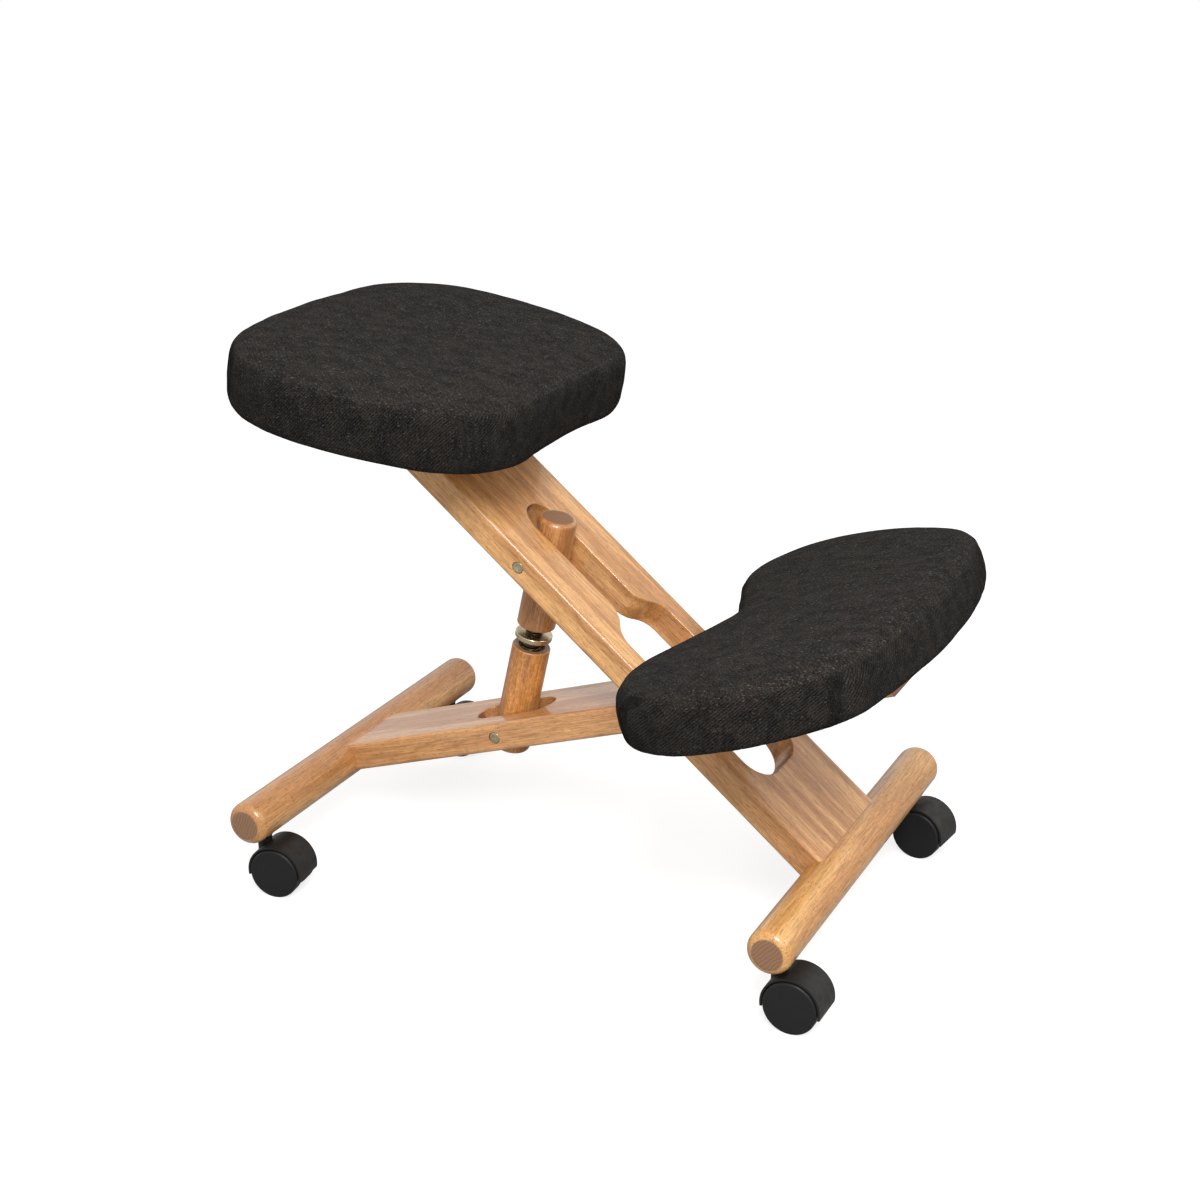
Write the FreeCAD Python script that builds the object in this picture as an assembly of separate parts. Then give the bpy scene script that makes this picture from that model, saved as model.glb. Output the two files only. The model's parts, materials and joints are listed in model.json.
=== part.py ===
"""Kneeling chair: two crossing wooden beams on castored crossbars, a seat and a knee pad.

The chair is laid out on the axis of its rear crossbar: X runs to the front, Z is up, Y is
across, and the floor is Z = 0. At the end everything moves along X so that the origin lies
under the middle of the chair. All sizes are millimetres, all angles degrees.
"""
import FreeCAD
import Part
import math
import os

Vector = FreeCAD.Vector
ACROSS = Vector(0, 1, 0)
UP = Vector(0, 0, 1)

# Fits between pieces
RUNNING_FIT = 0.05        # radial gap of a pin that turns in its hole
SEAT_GAP = 0.3            # gap of pieces that lie on each other and move or are soft
SOCKET_FIT = 0.1          # gap round a coped, recessed or bolted piece
THREAD_GAP = 0.4          # radial gap of the height screw in its nut

# Crossbars and where they stand
BAR_DIA = 42.0
BAR_LENGTH = 412.0
BAR_END_ROUND = 9.0
WHEELBASE = 535.0
CASTER_HEIGHT = 58.0      # floor to the underside of a crossbar
CASTER_INSET = 30.5       # bar end to swivel axis

# Rear beam: carries the knee pad, rises to the front
REAR_ANGLE = 18.6
REAR_WIDTH = 87.5
REAR_THICKNESS = 28.6
REAR_LENGTH = 610.0       # bar axis to front end
REAR_SLOT_START = 155.5
REAR_SLOT_END = 242.5
REAR_SLOT_HALF = 19.4

# Main beam: carries the seat, rises to the back and lets the rear beam through
MAIN_ANGLE = 39.4
MAIN_WIDTH = 138.0
MAIN_THICKNESS = 28.4
MAIN_SLOT_LOW_END = 100.3
MAIN_SLOT_LOW_R = 29.0     # corners of the low end
MAIN_SLOT_WIDE_HALF = 45.0
MAIN_SLOT_SHOULDER = 275.0
MAIN_SLOT_SHOULDER_R = 25.0
MAIN_SLOT_STEP = 44.0     # length of the curve from the wide to the narrow part
MAIN_SLOT_NARROW_HALF = 19.4
MAIN_SLOT_TOP_END = 440.0

BEAM_EASE = 4.0           # rounding of a beam's long edges
SLOT_EASE = 1.5           # rounding of a slot's rims

# Bolts that hold a crossbar to its beam
BAR_BOLT_R = 3.0
BAR_BOLT_HEAD_R = 5.0
BAR_BOLT_HEAD = 6.0
BAR_BOLT_SEAT = 13.0      # head seat, measured from the bar axis
BAR_BOLT_REACH = 66.0     # tip, measured from the bar axis
BAR_BOLT_SPREAD = 0.5     # distance of the pair as a share of the beam's width
BARREL_NUT_R = 5.0
BARREL_NUT_LENGTH = 14.0
BARREL_NUT_PLACE = 58.0

# Posts between the beams and their pivots
UPPER_PIVOT_PLACE = 398.5  # front bar axis to the upper pivot, along the main beam
LOWER_PIVOT_PLACE = 193.1  # rear bar axis to the lower pivot, along the rear beam
POST_DIA = 37.6
UPPER_POST_ABOVE = 29.8   # pivot to top end
UPPER_POST_BELOW = 85.5   # pivot to lower end
LOWER_POST_ABOVE = 87.2
LOWER_POST_BELOW = 28.0
POST_END_ROUND = 5.0
POST_JOINT_ROUND = 1.5

# Height screw, its ring, bush and nut
RING_DIA = 36.3
RING_THICKNESS = 5.6
RING_ROUND = 1.2
SCREW_R = 8.7
SCREW_DEPTH = 60.0        # how far the screw reaches into the lower post
JOURNAL_R = 8.0
BUSH_R = 10.0
BUSH_LENGTH = 34.0
BUSH_END = 2.3
NUT_R = 13.0
NUT_LENGTH = 18.0
NUT_DEPTH = 6.0           # how far the nut lies below the post's end
SCREW_BORE_R = 10.0
SCREW_BORE_DEPTH = 75.0

# Pivot bolts with their sleeve nuts
PIVOT_R = 4.0
PIVOT_THREAD_R = 3.0
PIVOT_HEAD_R = 5.4
PIVOT_HEAD = 3.2
PIVOT_SLEEVE = 22.0
FOLD_R = 5.0
FOLD_THREAD_R = 4.0
FOLD_HEAD_R = 7.0
FOLD_HEAD = 4.0
FOLD_SLEEVE = 28.0
HEAD_RECESS = 0.3         # how far a head lies below the wood
HEAD_GAP = 0.5            # radial gap round a head in its recess
HEX_KEY_SHARE = 0.5       # width of the hexagon socket as a share of the head
HEX_DEPTH = 2.0
FOLD_BUSH_R = 7.0
FOLD_WASHER_R = 9.5

# Seat pad: outline of two front and two rear rounds, joined by gentle arcs
SEAT_X = 101.9
SEAT_Z = 458.5
SEAT_PITCH = -8.67        # front edge lower than the back
SEAT_HEIGHT = 57.0
SEAT_FRONT = (48.5, 82.5, 97.7)      # centre forward, centre across, radius
SEAT_REAR = (-41.4, 78.3, 114.8)
SEAT_FRONT_HOLLOW = 626.8
SEAT_SIDE_R = 320.8
SEAT_BACK_R = 586.2
SEAT_TOP_ROUND = 12.0
SEAT_BOTTOM_ROUND = 9.0
SEAT_TOP_DRAW = 0.6       # how far the sides draw in from the middle to the top
SEAT_BOTTOM_DRAW = 1.2

# Knee pad: two long lobes round a notch that clears the main beam
KNEE_X = 516.0
KNEE_Z = 275.6
KNEE_PITCH = 16.4         # front edge higher than the back
KNEE_HEIGHT = 50.5
KNEE_FRONT = (26.2, 145.5, 67.9)
KNEE_REAR = (-40.9, 137.8, 99.8)
KNEE_NOTCH = (-152.0, 53.3)          # centre forward, radius
KNEE_FRONT_R = 616.0
KNEE_SIDE_R = 192.0
KNEE_TOP_ROUND = 22.0
KNEE_BOTTOM_ROUND = 6.0
KNEE_TOP_DRAW = 0.5
KNEE_BOTTOM_DRAW = 1.0

# What both pads share
PAD_CROWN = 4.0
CROWN_RUN = 40.0          # width of the sloping rim of the crown
BOARD_INSET = 18.0
BOARD_THICKNESS = 12.0

# Blocks and bolts that carry the pads
SEAT_WEDGE_LENGTH = 70.0
SEAT_WEDGE_WIDTH = 110.0
KNEE_WEDGE_START = 445.0  # along the rear beam
KNEE_WEDGE_END = 600.0
KNEE_WEDGE_WIDTH = 70.0
PAD_BOLT_R = 3.0
PAD_BOLT_HEAD_R = 6.0
PAD_BOLT_HEAD = 4.0
SEAT_BOLT_FORWARD = 34.0  # from the beam's top corner, along the board
SEAT_BOLT_BACK = 22.0
SEAT_BOLT_SIDE = 34.0
KNEE_BOLT_PLACES = (-60.0, 22.0)     # forward of the pad's own origin
KNEE_BOLT_SIDE = 22.0
TEE_NUT_R = 4.0
TEE_FLANGE_R = 9.5
TEE_FLANGE = 1.5

# Casters: twin wheels under a hood that trails behind its stem
WHEEL_R = 25.0
CASTER_TRAIL = 17.5
CASTER_HALF_WIDTH = 20.0
HOOD_GAP = 1.0
HOOD_WALL = 1.9
HOOD_HALF_WIDTH = 18.0
HOOD_FROM = -11.0         # angles seen from the near side, over the top
HOOD_TO = 190.0
WEB_HALF = 5.5
WHEEL_SIDE_GAP = 0.5
HUB_R = 7.0
AXLE_R = 3.0
AXLE_BOSS_R = 8.0
WHEEL_EDGE = 2.2
WHEEL_FACE = 4.5          # thickness of a wheel's outer disc
WHEEL_RIM = 4.0
STEM_R = 4.0
STEM_COLLAR_R = 7.5
STEM_COLLAR = 1.5
STEM_UP = 30.0            # how far the stem reaches into the bar
SLEEVE_R = 5.5
SLEEVE_FLANGE_R = 9.0
SLEEVE_FLANGE = 1.5
SLEEVE_RECESS = 2.2
CASTER_YAW = {
    "rear_near": 7.3,
    "rear_far": 4.0,
    "front_near": -1.0,
    "front_far": -7.2,
}

# Range of the fold, from the lowest to the highest seat
FOLD_RANGE = (-2.8, 11.0)

# Values that follow from the sizes above
BAR_R = BAR_DIA / 2
BAR_HEIGHT = CASTER_HEIGHT + BAR_R
POST_R = POST_DIA / 2
REAR_DIR = Vector(math.cos(math.radians(REAR_ANGLE)), 0, math.sin(math.radians(REAR_ANGLE)))
REAR_NORMAL = Vector(-REAR_DIR.z, 0, REAR_DIR.x)
MAIN_DIR = Vector(-math.cos(math.radians(MAIN_ANGLE)), 0, math.sin(math.radians(MAIN_ANGLE)))
MAIN_NORMAL = Vector(MAIN_DIR.z, 0, -MAIN_DIR.x)
REAR_AXIS = Vector(0, 0, BAR_HEIGHT)
FRONT_AXIS = Vector(WHEELBASE, 0, BAR_HEIGHT)
CROSSING = math.sin(math.radians(REAR_ANGLE + MAIN_ANGLE))
FOLD_ON_REAR = WHEELBASE * math.sin(math.radians(MAIN_ANGLE)) / CROSSING
FOLD_ON_MAIN = WHEELBASE * math.sin(math.radians(REAR_ANGLE)) / CROSSING
FOLD_PIVOT = REAR_AXIS + REAR_DIR * FOLD_ON_REAR
UPPER_PIVOT = FRONT_AXIS + MAIN_DIR * UPPER_PIVOT_PLACE
LOWER_PIVOT = REAR_AXIS + REAR_DIR * LOWER_PIVOT_PLACE
POST_SPAN = (UPPER_PIVOT - LOWER_PIVOT).Length
POST_TILT = math.degrees(math.atan2(UPPER_PIVOT.x - LOWER_PIVOT.x, UPPER_PIVOT.z - LOWER_PIVOT.z))
POST_GAP = POST_SPAN - UPPER_POST_BELOW - LOWER_POST_ABOVE
RING_TOP = -UPPER_POST_BELOW - (POST_GAP - RING_THICKNESS) / 2
RING_BOTTOM = RING_TOP - RING_THICKNESS


def tilted(place, pitch):
    """Frame at a place, with its X axis raised by the pitch."""
    return FreeCAD.Placement(place, FreeCAD.Rotation(ACROSS, -pitch))


def turned_back(place, pitch):
    """Frame at a place whose X axis points backwards and is raised by the pitch."""
    half_turn = FreeCAD.Rotation(UP, 180)
    return FreeCAD.Placement(place, half_turn.multiply(FreeCAD.Rotation(ACROSS, -pitch)))


REAR_FRAME = tilted(REAR_AXIS, REAR_ANGLE)
MAIN_FRAME = turned_back(FRONT_AXIS, MAIN_ANGLE)
SEAT_FRAME = tilted(Vector(SEAT_X, 0, SEAT_Z), SEAT_PITCH)
KNEE_FRAME = tilted(Vector(KNEE_X, 0, KNEE_Z), KNEE_PITCH)
UPPER_POST_FRAME = tilted(UPPER_PIVOT, -POST_TILT)
LOWER_POST_FRAME = tilted(LOWER_PIVOT, -POST_TILT)


def placed(shape, frame):
    """Copy of a shape moved from its own frame into the chair."""
    moved = shape.copy()
    moved.Placement = frame.multiply(moved.Placement)
    return moved


def rod(radius, start, end, x=0.0, y=0.0):
    """Cylinder along Z between two heights."""
    return Part.makeCylinder(radius, end - start, Vector(x, y, start))


def tube(radius, bore, start, end):
    """Hollow cylinder along Z between two heights."""
    return rod(radius, start, end).cut(rod(bore, start - 1, end + 1))


def cross_rod(radius, start, end, x=0.0, z=0.0):
    """Cylinder along Y between two places."""
    return Part.makeCylinder(radius, end - start, Vector(x, start, z), ACROSS)


def along_rod(radius, start, end, y=0.0, z=0.0):
    """Cylinder along X between two places."""
    return Part.makeCylinder(radius, end - start, Vector(start, y, z), Vector(1, 0, 0))


def hexagon(width, start, end):
    """Hexagonal prism along Z, measured across its flats."""
    reach = width / 2 / math.cos(math.radians(30))
    points = [Vector(reach * math.cos(math.radians(60 * k)),
                     reach * math.sin(math.radians(60 * k)), start) for k in range(7)]
    return Part.Face(Part.makePolygon(points)).extrude(Vector(0, 0, end - start))


def tangent_normals(first, second, join):
    """Outward normals where a line or an arc touches two signed circles.

    A circle is (x, y, radius), with a negative radius for a hollow corner. The join is the
    radius of the arc between them, negative when it is hollow, or None for a straight run.
    The third value is the centre of the arc.
    """
    (x1, y1, r1), (x2, y2, r2) = first, second
    span = math.hypot(x2 - x1, y2 - y1)
    ex, ey = (x2 - x1) / span, (y2 - y1) / span
    if join is None:
        lean = (r1 - r2) / span
        side = math.sqrt(1 - lean * lean)
        normal = (ex * lean + ey * side, ey * lean - ex * side)
        return normal, normal, None
    reach1, reach2 = abs(join - r1), abs(join - r2)
    foot = (reach1 ** 2 - reach2 ** 2 + span ** 2) / (2 * span)
    rise = math.copysign(math.sqrt(reach1 ** 2 - foot ** 2), join)
    cx = x1 + ex * foot - ey * rise
    cy = y1 + ey * foot + ex * rise
    return ((x1 - cx) / (join - r1), (y1 - cy) / (join - r1)), \
           ((x2 - cx) / (join - r2), (y2 - cy) / (join - r2)), (cx, cy)


def arc_edge(centre, radius, start, end, height):
    """Arc round a centre between outward normals, clockwise if its radius is negative."""
    first = math.atan2(start[1], start[0])
    sweep = (math.atan2(end[1], end[0]) - first) * math.copysign(1, radius)
    sweep = (sweep % (2 * math.pi)) * math.copysign(1, radius)
    points = []
    for share in (0, 0.5, 1):
        angle = first + share * sweep
        points.append(Vector(centre[0] + radius * math.cos(angle),
                             centre[1] + radius * math.sin(angle), height))
    return Part.Arc(*points).toShape()


def outline(circles, joins, inset=0.0, height=0.0):
    """Closed wire round signed circles, drawn in by an inset, at a height."""
    rounds = [(x, y, r - inset) for x, y, r in circles]
    arcs = [None if join is None else join - inset for join in joins]
    count = len(rounds)
    touches = [tangent_normals(rounds[k], rounds[(k + 1) % count], arcs[k]) for k in range(count)]
    edges = []
    for k, (x, y, r) in enumerate(rounds):
        arrive, leave = touches[k - 1][1], touches[k][0]
        edges.append(arc_edge((x, y), r, arrive, leave, height))
        nx, ny, nr = rounds[(k + 1) % count]
        if arcs[k] is None:
            start = Vector(x + r * leave[0], y + r * leave[1], height)
            end = Vector(nx + nr * touches[k][1][0], ny + nr * touches[k][1][1], height)
            edges.append(Part.LineSegment(start, end).toShape())
        else:
            edges.append(arc_edge(touches[k][2], arcs[k], leave, touches[k][1], height))
    return Part.Wire(edges)


def plate(circles, joins, inset, start, end):
    """Flat plate inside an outline, between two heights."""
    face = Part.Face(outline(circles, joins, inset, start))
    return face.extrude(Vector(0, 0, end - start))


def seat_outline():
    """Signed circles and joins of the seat pad, anticlockwise from the front."""
    fx, fy, fr = SEAT_FRONT
    rx, ry, rr = SEAT_REAR
    circles = [(fx, -fy, fr), (fx, fy, fr), (rx, ry, rr), (rx, -ry, rr)]
    return circles, [-SEAT_FRONT_HOLLOW, SEAT_SIDE_R, SEAT_BACK_R, SEAT_SIDE_R]


def knee_outline():
    """Signed circles and joins of the knee pad, anticlockwise from the front."""
    fx, fy, fr = KNEE_FRONT
    rx, ry, rr = KNEE_REAR
    nx, nr = KNEE_NOTCH
    circles = [(fx, -fy, fr), (fx, fy, fr), (rx, ry, rr), (nx, 0, -nr), (rx, -ry, rr)]
    return circles, [KNEE_FRONT_R, KNEE_SIDE_R, None, None, KNEE_SIDE_R]


def pad_profile(height, top_round, bottom_round, top_draw, bottom_draw):
    """Insets and heights of a pad's rings, from its flat bottom to its crown."""
    rings = []
    for turn in (0, 45, 90):
        angle = math.radians(turn)
        rings.append((bottom_draw + bottom_round * (1 - math.sin(angle)),
                      bottom_round * (1 - math.cos(angle))))
    rings.append((0, (height - top_round + bottom_round) / 2))
    for turn in (0, 30, 60, 90):
        angle = math.radians(turn)
        rings.append((top_draw + top_round * (1 - math.cos(angle)),
                      height - top_round * (1 - math.sin(angle))))
    rings.append((top_round + CROWN_RUN, height + PAD_CROWN))
    return rings


def cushion(circles, joins, rings):
    """Crowned pad through rings of insets and heights, with a recess for its board."""
    body = Part.makeLoft([outline(circles, joins, *ring) for ring in rings], True, True)
    recess = plate(circles, joins, BOARD_INSET, -1, BOARD_THICKNESS + SEAT_GAP)
    return body.cut(recess)


def pad_board(circles, joins, bolts):
    """Plywood board of a pad, drilled for its tee nuts."""
    board = plate(circles, joins, BOARD_INSET + SEAT_GAP, 0, BOARD_THICKNESS)
    for x, y in bolts:
        board = board.cut(rod(TEE_NUT_R + SOCKET_FIT, -1, BOARD_THICKNESS + 1, x, y))
        top = BOARD_THICKNESS - TEE_FLANGE - SOCKET_FIT
        board = board.cut(rod(TEE_FLANGE_R + SOCKET_FIT, top, BOARD_THICKNESS + 1, x, y))
    return board


def tee_nut(x, y):
    """Tee nut that lies in a board's top face."""
    top = BOARD_THICKNESS - SOCKET_FIT
    flange = rod(TEE_FLANGE_R, top - TEE_FLANGE, top, x, y)
    barrel = rod(TEE_NUT_R, 2.0, top - TEE_FLANGE / 2, x, y)
    return flange.fuse(barrel).cut(rod(PAD_BOLT_R + RUNNING_FIT, -1, top + 1, x, y))


def socket_head(radius, thickness):
    """Round bolt head that stands on Z = 0 with a hexagon socket in its top."""
    head = rod(radius, 0, thickness)
    rim = [edge for edge in head.Edges if edge.BoundBox.ZMin > thickness - 0.01]
    head = head.makeFillet(thickness / 4, [edge for edge in rim if len(edge.Vertexes) == 1])
    return head.cut(hexagon(radius * 2 * HEX_KEY_SHARE, thickness - HEX_DEPTH, thickness + 1))


def head_at(radius, thickness, x, y, z, direction):
    """Bolt head that faces a direction, its seat at the given place."""
    frame = FreeCAD.Placement(Vector(x, y, z), FreeCAD.Rotation(UP, direction))
    return placed(socket_head(radius, thickness), frame)


def pivot_bolt(half, radius, thread, head_r, head, sleeve):
    """Bolt across a beam from its near side, round the origin."""
    seat = -half + HEAD_RECESS + head
    far = -seat - sleeve
    shaft = cross_rod(radius, seat, far - SEAT_GAP)
    tip = cross_rod(thread, far - SEAT_GAP, -seat - head)
    return head_at(head_r, head, 0, seat, 0, -ACROSS).fuse([shaft, tip])


def pivot_nut(half, radius, thread, head_r, head, sleeve):
    """Sleeve nut that takes a pivot bolt's thread from the far side."""
    seat = half - HEAD_RECESS - head
    barrel = cross_rod(radius, seat - sleeve, seat)
    bore = cross_rod(thread + RUNNING_FIT, seat - sleeve - 1, seat - head + RUNNING_FIT)
    return head_at(head_r, head, 0, seat, 0, ACROSS).fuse(barrel).cut(bore)


def pivot_cut(half, radius, head_r, head):
    """What a pivot bolt and its nut take out of a beam, round the origin."""
    depth = HEAD_RECESS + head
    cut = cross_rod(radius + RUNNING_FIT, -half - 1, half + 1)
    near = cross_rod(head_r + HEAD_GAP, -half - 1, -half + depth)
    far = cross_rod(head_r + HEAD_GAP, half - depth, half + 1)
    return cut.fuse([near, far])


def at(point):
    """Frame at a point, unturned."""
    return FreeCAD.Placement(point, FreeCAD.Rotation())


def plank(start, length, width, thickness):
    """Board along X with eased long edges, its middle plane on Z = 0."""
    board = Part.makeBox(length - start, width, thickness, Vector(start, -width / 2, -thickness / 2))
    long_edges = [edge for edge in board.Edges if edge.BoundBox.XLength > length / 2]
    return board.makeFillet(BEAM_EASE, long_edges)


def slotted(board, circles, thickness):
    """Cut a slot through a plank and ease its rims."""
    joins = [None] * len(circles)
    board = board.cut(plate(circles, joins, 0, -thickness, thickness))
    half = thickness / 2
    reach = max(abs(y) + abs(r) for x, y, r in circles) + 1
    first = min(x - abs(r) for x, y, r in circles) - 1
    last = max(x + abs(r) for x, y, r in circles) + 1
    rims = []
    for edge in board.Edges:
        box = edge.BoundBox
        flat = box.ZLength < 0.01 and abs(abs(box.ZMin) - half) < 0.01
        inside = box.XMin > first and box.XMax < last and box.YMin > -reach and box.YMax < reach
        if flat and inside:
            rims.append(edge)
    return board.makeFillet(SLOT_EASE, rims)


def bar_bolt_places(width):
    """Distances of the two crossbar bolts from the middle of a beam."""
    return [side * width * BAR_BOLT_SPREAD / 2 for side in (-1, 1)]


def bar_bolt_cuts(width, thickness):
    """Bolt, head and barrel nut holes of a crossbar joint, in the beam's frame."""
    cuts = []
    for y in bar_bolt_places(width):
        cuts.append(along_rod(BAR_BOLT_R + SOCKET_FIT, -BAR_R, BAR_BOLT_REACH + 1, y))
        cuts.append(along_rod(BAR_BOLT_HEAD_R + SOCKET_FIT, -BAR_R - 1, -BAR_BOLT_SEAT, y))
        nut_top = BARREL_NUT_LENGTH / 2 - 2
        cuts.append(rod(BARREL_NUT_R + SOCKET_FIT, -thickness, nut_top + 1, BARREL_NUT_PLACE, y))
    return cuts[0].fuse(cuts[1:])


def bar_bolts(width):
    """Pair of bolts from a crossbar into its beam, in the beam's frame."""
    bolts = []
    for y in bar_bolt_places(width):
        head = head_at(BAR_BOLT_HEAD_R, BAR_BOLT_HEAD, -BAR_BOLT_SEAT, y, 0, Vector(-1, 0, 0))
        bolts.append(head.fuse(along_rod(BAR_BOLT_R, -BAR_BOLT_SEAT, BAR_BOLT_REACH, y)))
    return Part.makeCompound(bolts)


def barrel_nuts(width):
    """Pair of barrel nuts in a beam, in the beam's frame."""
    nuts = []
    for y in bar_bolt_places(width):
        top = BARREL_NUT_LENGTH / 2 - 2
        nut = rod(BARREL_NUT_R, top - BARREL_NUT_LENGTH, top, BARREL_NUT_PLACE, y)
        bore = along_rod(BAR_BOLT_R + RUNNING_FIT, 0, 2 * BARREL_NUT_PLACE, y)
        nuts.append(nut.cut(bore))
    return Part.makeCompound(nuts)


def caster_places():
    """Distances of the two swivel axes from the middle of a crossbar."""
    return [side * (BAR_LENGTH / 2 - CASTER_INSET) for side in (-1, 1)]


def crossbar(axis, frame, width, thickness):
    """Round bar across the chair, drilled for its beam and its casters."""
    half = BAR_LENGTH / 2
    bar = cross_rod(BAR_R, -half, half)
    ends = [edge for edge in bar.Edges if len(edge.Vertexes) == 1]
    bar = bar.makeFillet(BAR_END_ROUND, ends)
    bar.translate(axis)
    bar = bar.cut(placed(bar_bolt_cuts(width, thickness), frame))
    for y in caster_places():
        x = axis.x
        top = CASTER_HEIGHT + STEM_UP + SLEEVE_FLANGE + 1
        bar = bar.cut(rod(SLEEVE_R + SOCKET_FIT, CASTER_HEIGHT - 5, top, x, y))
        seat = CASTER_HEIGHT + SLEEVE_RECESS
        bar = bar.cut(rod(SLEEVE_FLANGE_R + SOCKET_FIT, CASTER_HEIGHT - 5, seat, x, y))
    return bar


def caster_sleeves(axis):
    """Pair of flanged sleeves in a crossbar that grip the caster stems."""
    sleeves = []
    flange_top = CASTER_HEIGHT + SLEEVE_RECESS
    for y in caster_places():
        flange = tube(SLEEVE_FLANGE_R, STEM_R + RUNNING_FIT, flange_top - SLEEVE_FLANGE, flange_top)
        wall = tube(SLEEVE_R, STEM_R + RUNNING_FIT, flange_top - SLEEVE_FLANGE,
                    CASTER_HEIGHT + STEM_UP + SLEEVE_FLANGE)
        sleeve = flange.fuse(wall)
        sleeve.translate(Vector(axis.x, y, 0))
        sleeves.append(sleeve)
    return Part.makeCompound(sleeves)


def rear_beam():
    """Beam from the rear crossbar up to the knee pad, slotted for the lower post."""
    board = plank(0, REAR_LENGTH, REAR_WIDTH, REAR_THICKNESS)
    first = REAR_SLOT_START + REAR_SLOT_HALF
    last = REAR_SLOT_END - REAR_SLOT_HALF
    slot = [(first, 0, REAR_SLOT_HALF), (last, 0, REAR_SLOT_HALF)]
    board = slotted(board, slot, REAR_THICKNESS)
    board = board.cut(bar_bolt_cuts(REAR_WIDTH, REAR_THICKNESS))
    beam = placed(board, REAR_FRAME).cut(knee_bolt_cuts())
    bar = cross_rod(BAR_R + SOCKET_FIT, -BAR_LENGTH, BAR_LENGTH, REAR_AXIS.x, REAR_AXIS.z)
    beam = beam.cut(bar)
    half = REAR_WIDTH / 2
    beam = beam.cut(placed(pivot_cut(half, PIVOT_R, PIVOT_HEAD_R, PIVOT_HEAD), at(LOWER_PIVOT)))
    return beam.cut(cross_rod(FOLD_BUSH_R, -half - 1, half + 1, FOLD_PIVOT.x, FOLD_PIVOT.z))


def main_slot():
    """Signed circles of the main beam's slot, wide for the rear beam, narrow for the post."""
    wide, narrow, turn = MAIN_SLOT_WIDE_HALF, MAIN_SLOT_NARROW_HALF, MAIN_SLOT_SHOULDER_R
    low, corner = MAIN_SLOT_LOW_END + MAIN_SLOT_LOW_R, wide - MAIN_SLOT_LOW_R
    step = MAIN_SLOT_SHOULDER + MAIN_SLOT_STEP
    return [
        (low, corner, MAIN_SLOT_LOW_R),
        (low, -corner, MAIN_SLOT_LOW_R),
        (MAIN_SLOT_SHOULDER, -(wide - turn), turn),
        (step, -(narrow + turn), -turn),
        (MAIN_SLOT_TOP_END - narrow, 0, narrow),
        (step, narrow + turn, -turn),
        (MAIN_SLOT_SHOULDER, wide - turn, turn),
    ]


def above_seat_plane():
    """Big block over the underside of the seat board."""
    size = 2 * MAIN_WIDTH
    return placed(Part.makeBox(2 * size, 2 * size, size, Vector(-size, -size, 0)), SEAT_FRAME)


def main_beam():
    """Beam from the front crossbar up to the seat, its top end cut to the seat's slope."""
    length = UPPER_PIVOT_PLACE * 2
    board = slotted(plank(0, length, MAIN_WIDTH, MAIN_THICKNESS), main_slot(), MAIN_THICKNESS)
    board = board.cut(bar_bolt_cuts(MAIN_WIDTH, MAIN_THICKNESS))
    beam = placed(board, MAIN_FRAME)
    bar = cross_rod(BAR_R + SOCKET_FIT, -BAR_LENGTH, BAR_LENGTH, FRONT_AXIS.x, FRONT_AXIS.z)
    beam = beam.cut(bar).cut(above_seat_plane())
    half = MAIN_WIDTH / 2
    beam = beam.cut(placed(pivot_cut(half, PIVOT_R, PIVOT_HEAD_R, PIVOT_HEAD), at(UPPER_PIVOT)))
    beam = beam.cut(placed(pivot_cut(half, FOLD_R, FOLD_HEAD_R, FOLD_HEAD), at(FOLD_PIVOT)))
    return beam.cut(seat_bolt_cuts())


def level_of(frame, x, point, normal):
    """Height in a pad's frame at which the line across its board meets a plane."""
    foot = frame.multVec(Vector(x, 0, 0))
    return (point - foot).dot(normal) / frame.Rotation.multVec(UP).dot(normal)


def bolt_seat(frame, x, beam_axis, normal, thickness):
    """Height in a pad's frame where a bolt head bears, wholly inside the beam."""
    underside = beam_axis - normal * (thickness / 2)
    slope = math.tan(frame.Rotation.multVec(UP).getAngle(normal))
    depth = PAD_BOLT_HEAD + HEAD_RECESS + PAD_BOLT_HEAD_R * slope
    return level_of(frame, x, underside, normal) + depth


def pad_bolts(frame, places):
    """Bolts from a beam up into a pad's tee nuts, each place with its head's height."""
    bolts = []
    for x, y, seat in places:
        head = head_at(PAD_BOLT_HEAD_R, PAD_BOLT_HEAD, x, y, seat, -UP)
        shaft = rod(PAD_BOLT_R, seat, BOARD_THICKNESS - TEE_FLANGE, x, y)
        bolts.append(placed(head.fuse(shaft), frame))
    return Part.makeCompound(bolts)


def pad_bolt_cuts(frame, places):
    """What the bolts and their heads take out of the beam and the block on it."""
    cuts = []
    for x, y, seat in places:
        cuts.append(rod(PAD_BOLT_R + SOCKET_FIT, seat - 1, BOARD_THICKNESS, x, y))
        cuts.append(rod(PAD_BOLT_HEAD_R + SOCKET_FIT, seat - 4 * PAD_BOLT_HEAD, seat, x, y))
    return placed(cuts[0].fuse(cuts[1:]), frame)


def seat_corner():
    """Where the main beam's top face meets the seat board, in the seat's frame."""
    top = FRONT_AXIS + MAIN_NORMAL * (MAIN_THICKNESS / 2)
    local = SEAT_FRAME.inverse().multVec(top)
    direction = SEAT_FRAME.Rotation.inverted().multVec(MAIN_DIR)
    return local.x - direction.x * local.z / direction.z


def seat_bolt_places():
    """Where the four seat bolts stand, in the seat's frame."""
    rows = (seat_corner() + SEAT_BOLT_FORWARD, seat_corner() - SEAT_BOLT_BACK)
    return [(x, side * SEAT_BOLT_SIDE) for x in rows for side in (-1, 1)]


def seat_bolt_seats():
    """The seat bolt places with the height of each head."""
    beam = (FRONT_AXIS, MAIN_NORMAL, MAIN_THICKNESS)
    return [(x, y, bolt_seat(SEAT_FRAME, x, *beam)) for x, y in seat_bolt_places()]


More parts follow.
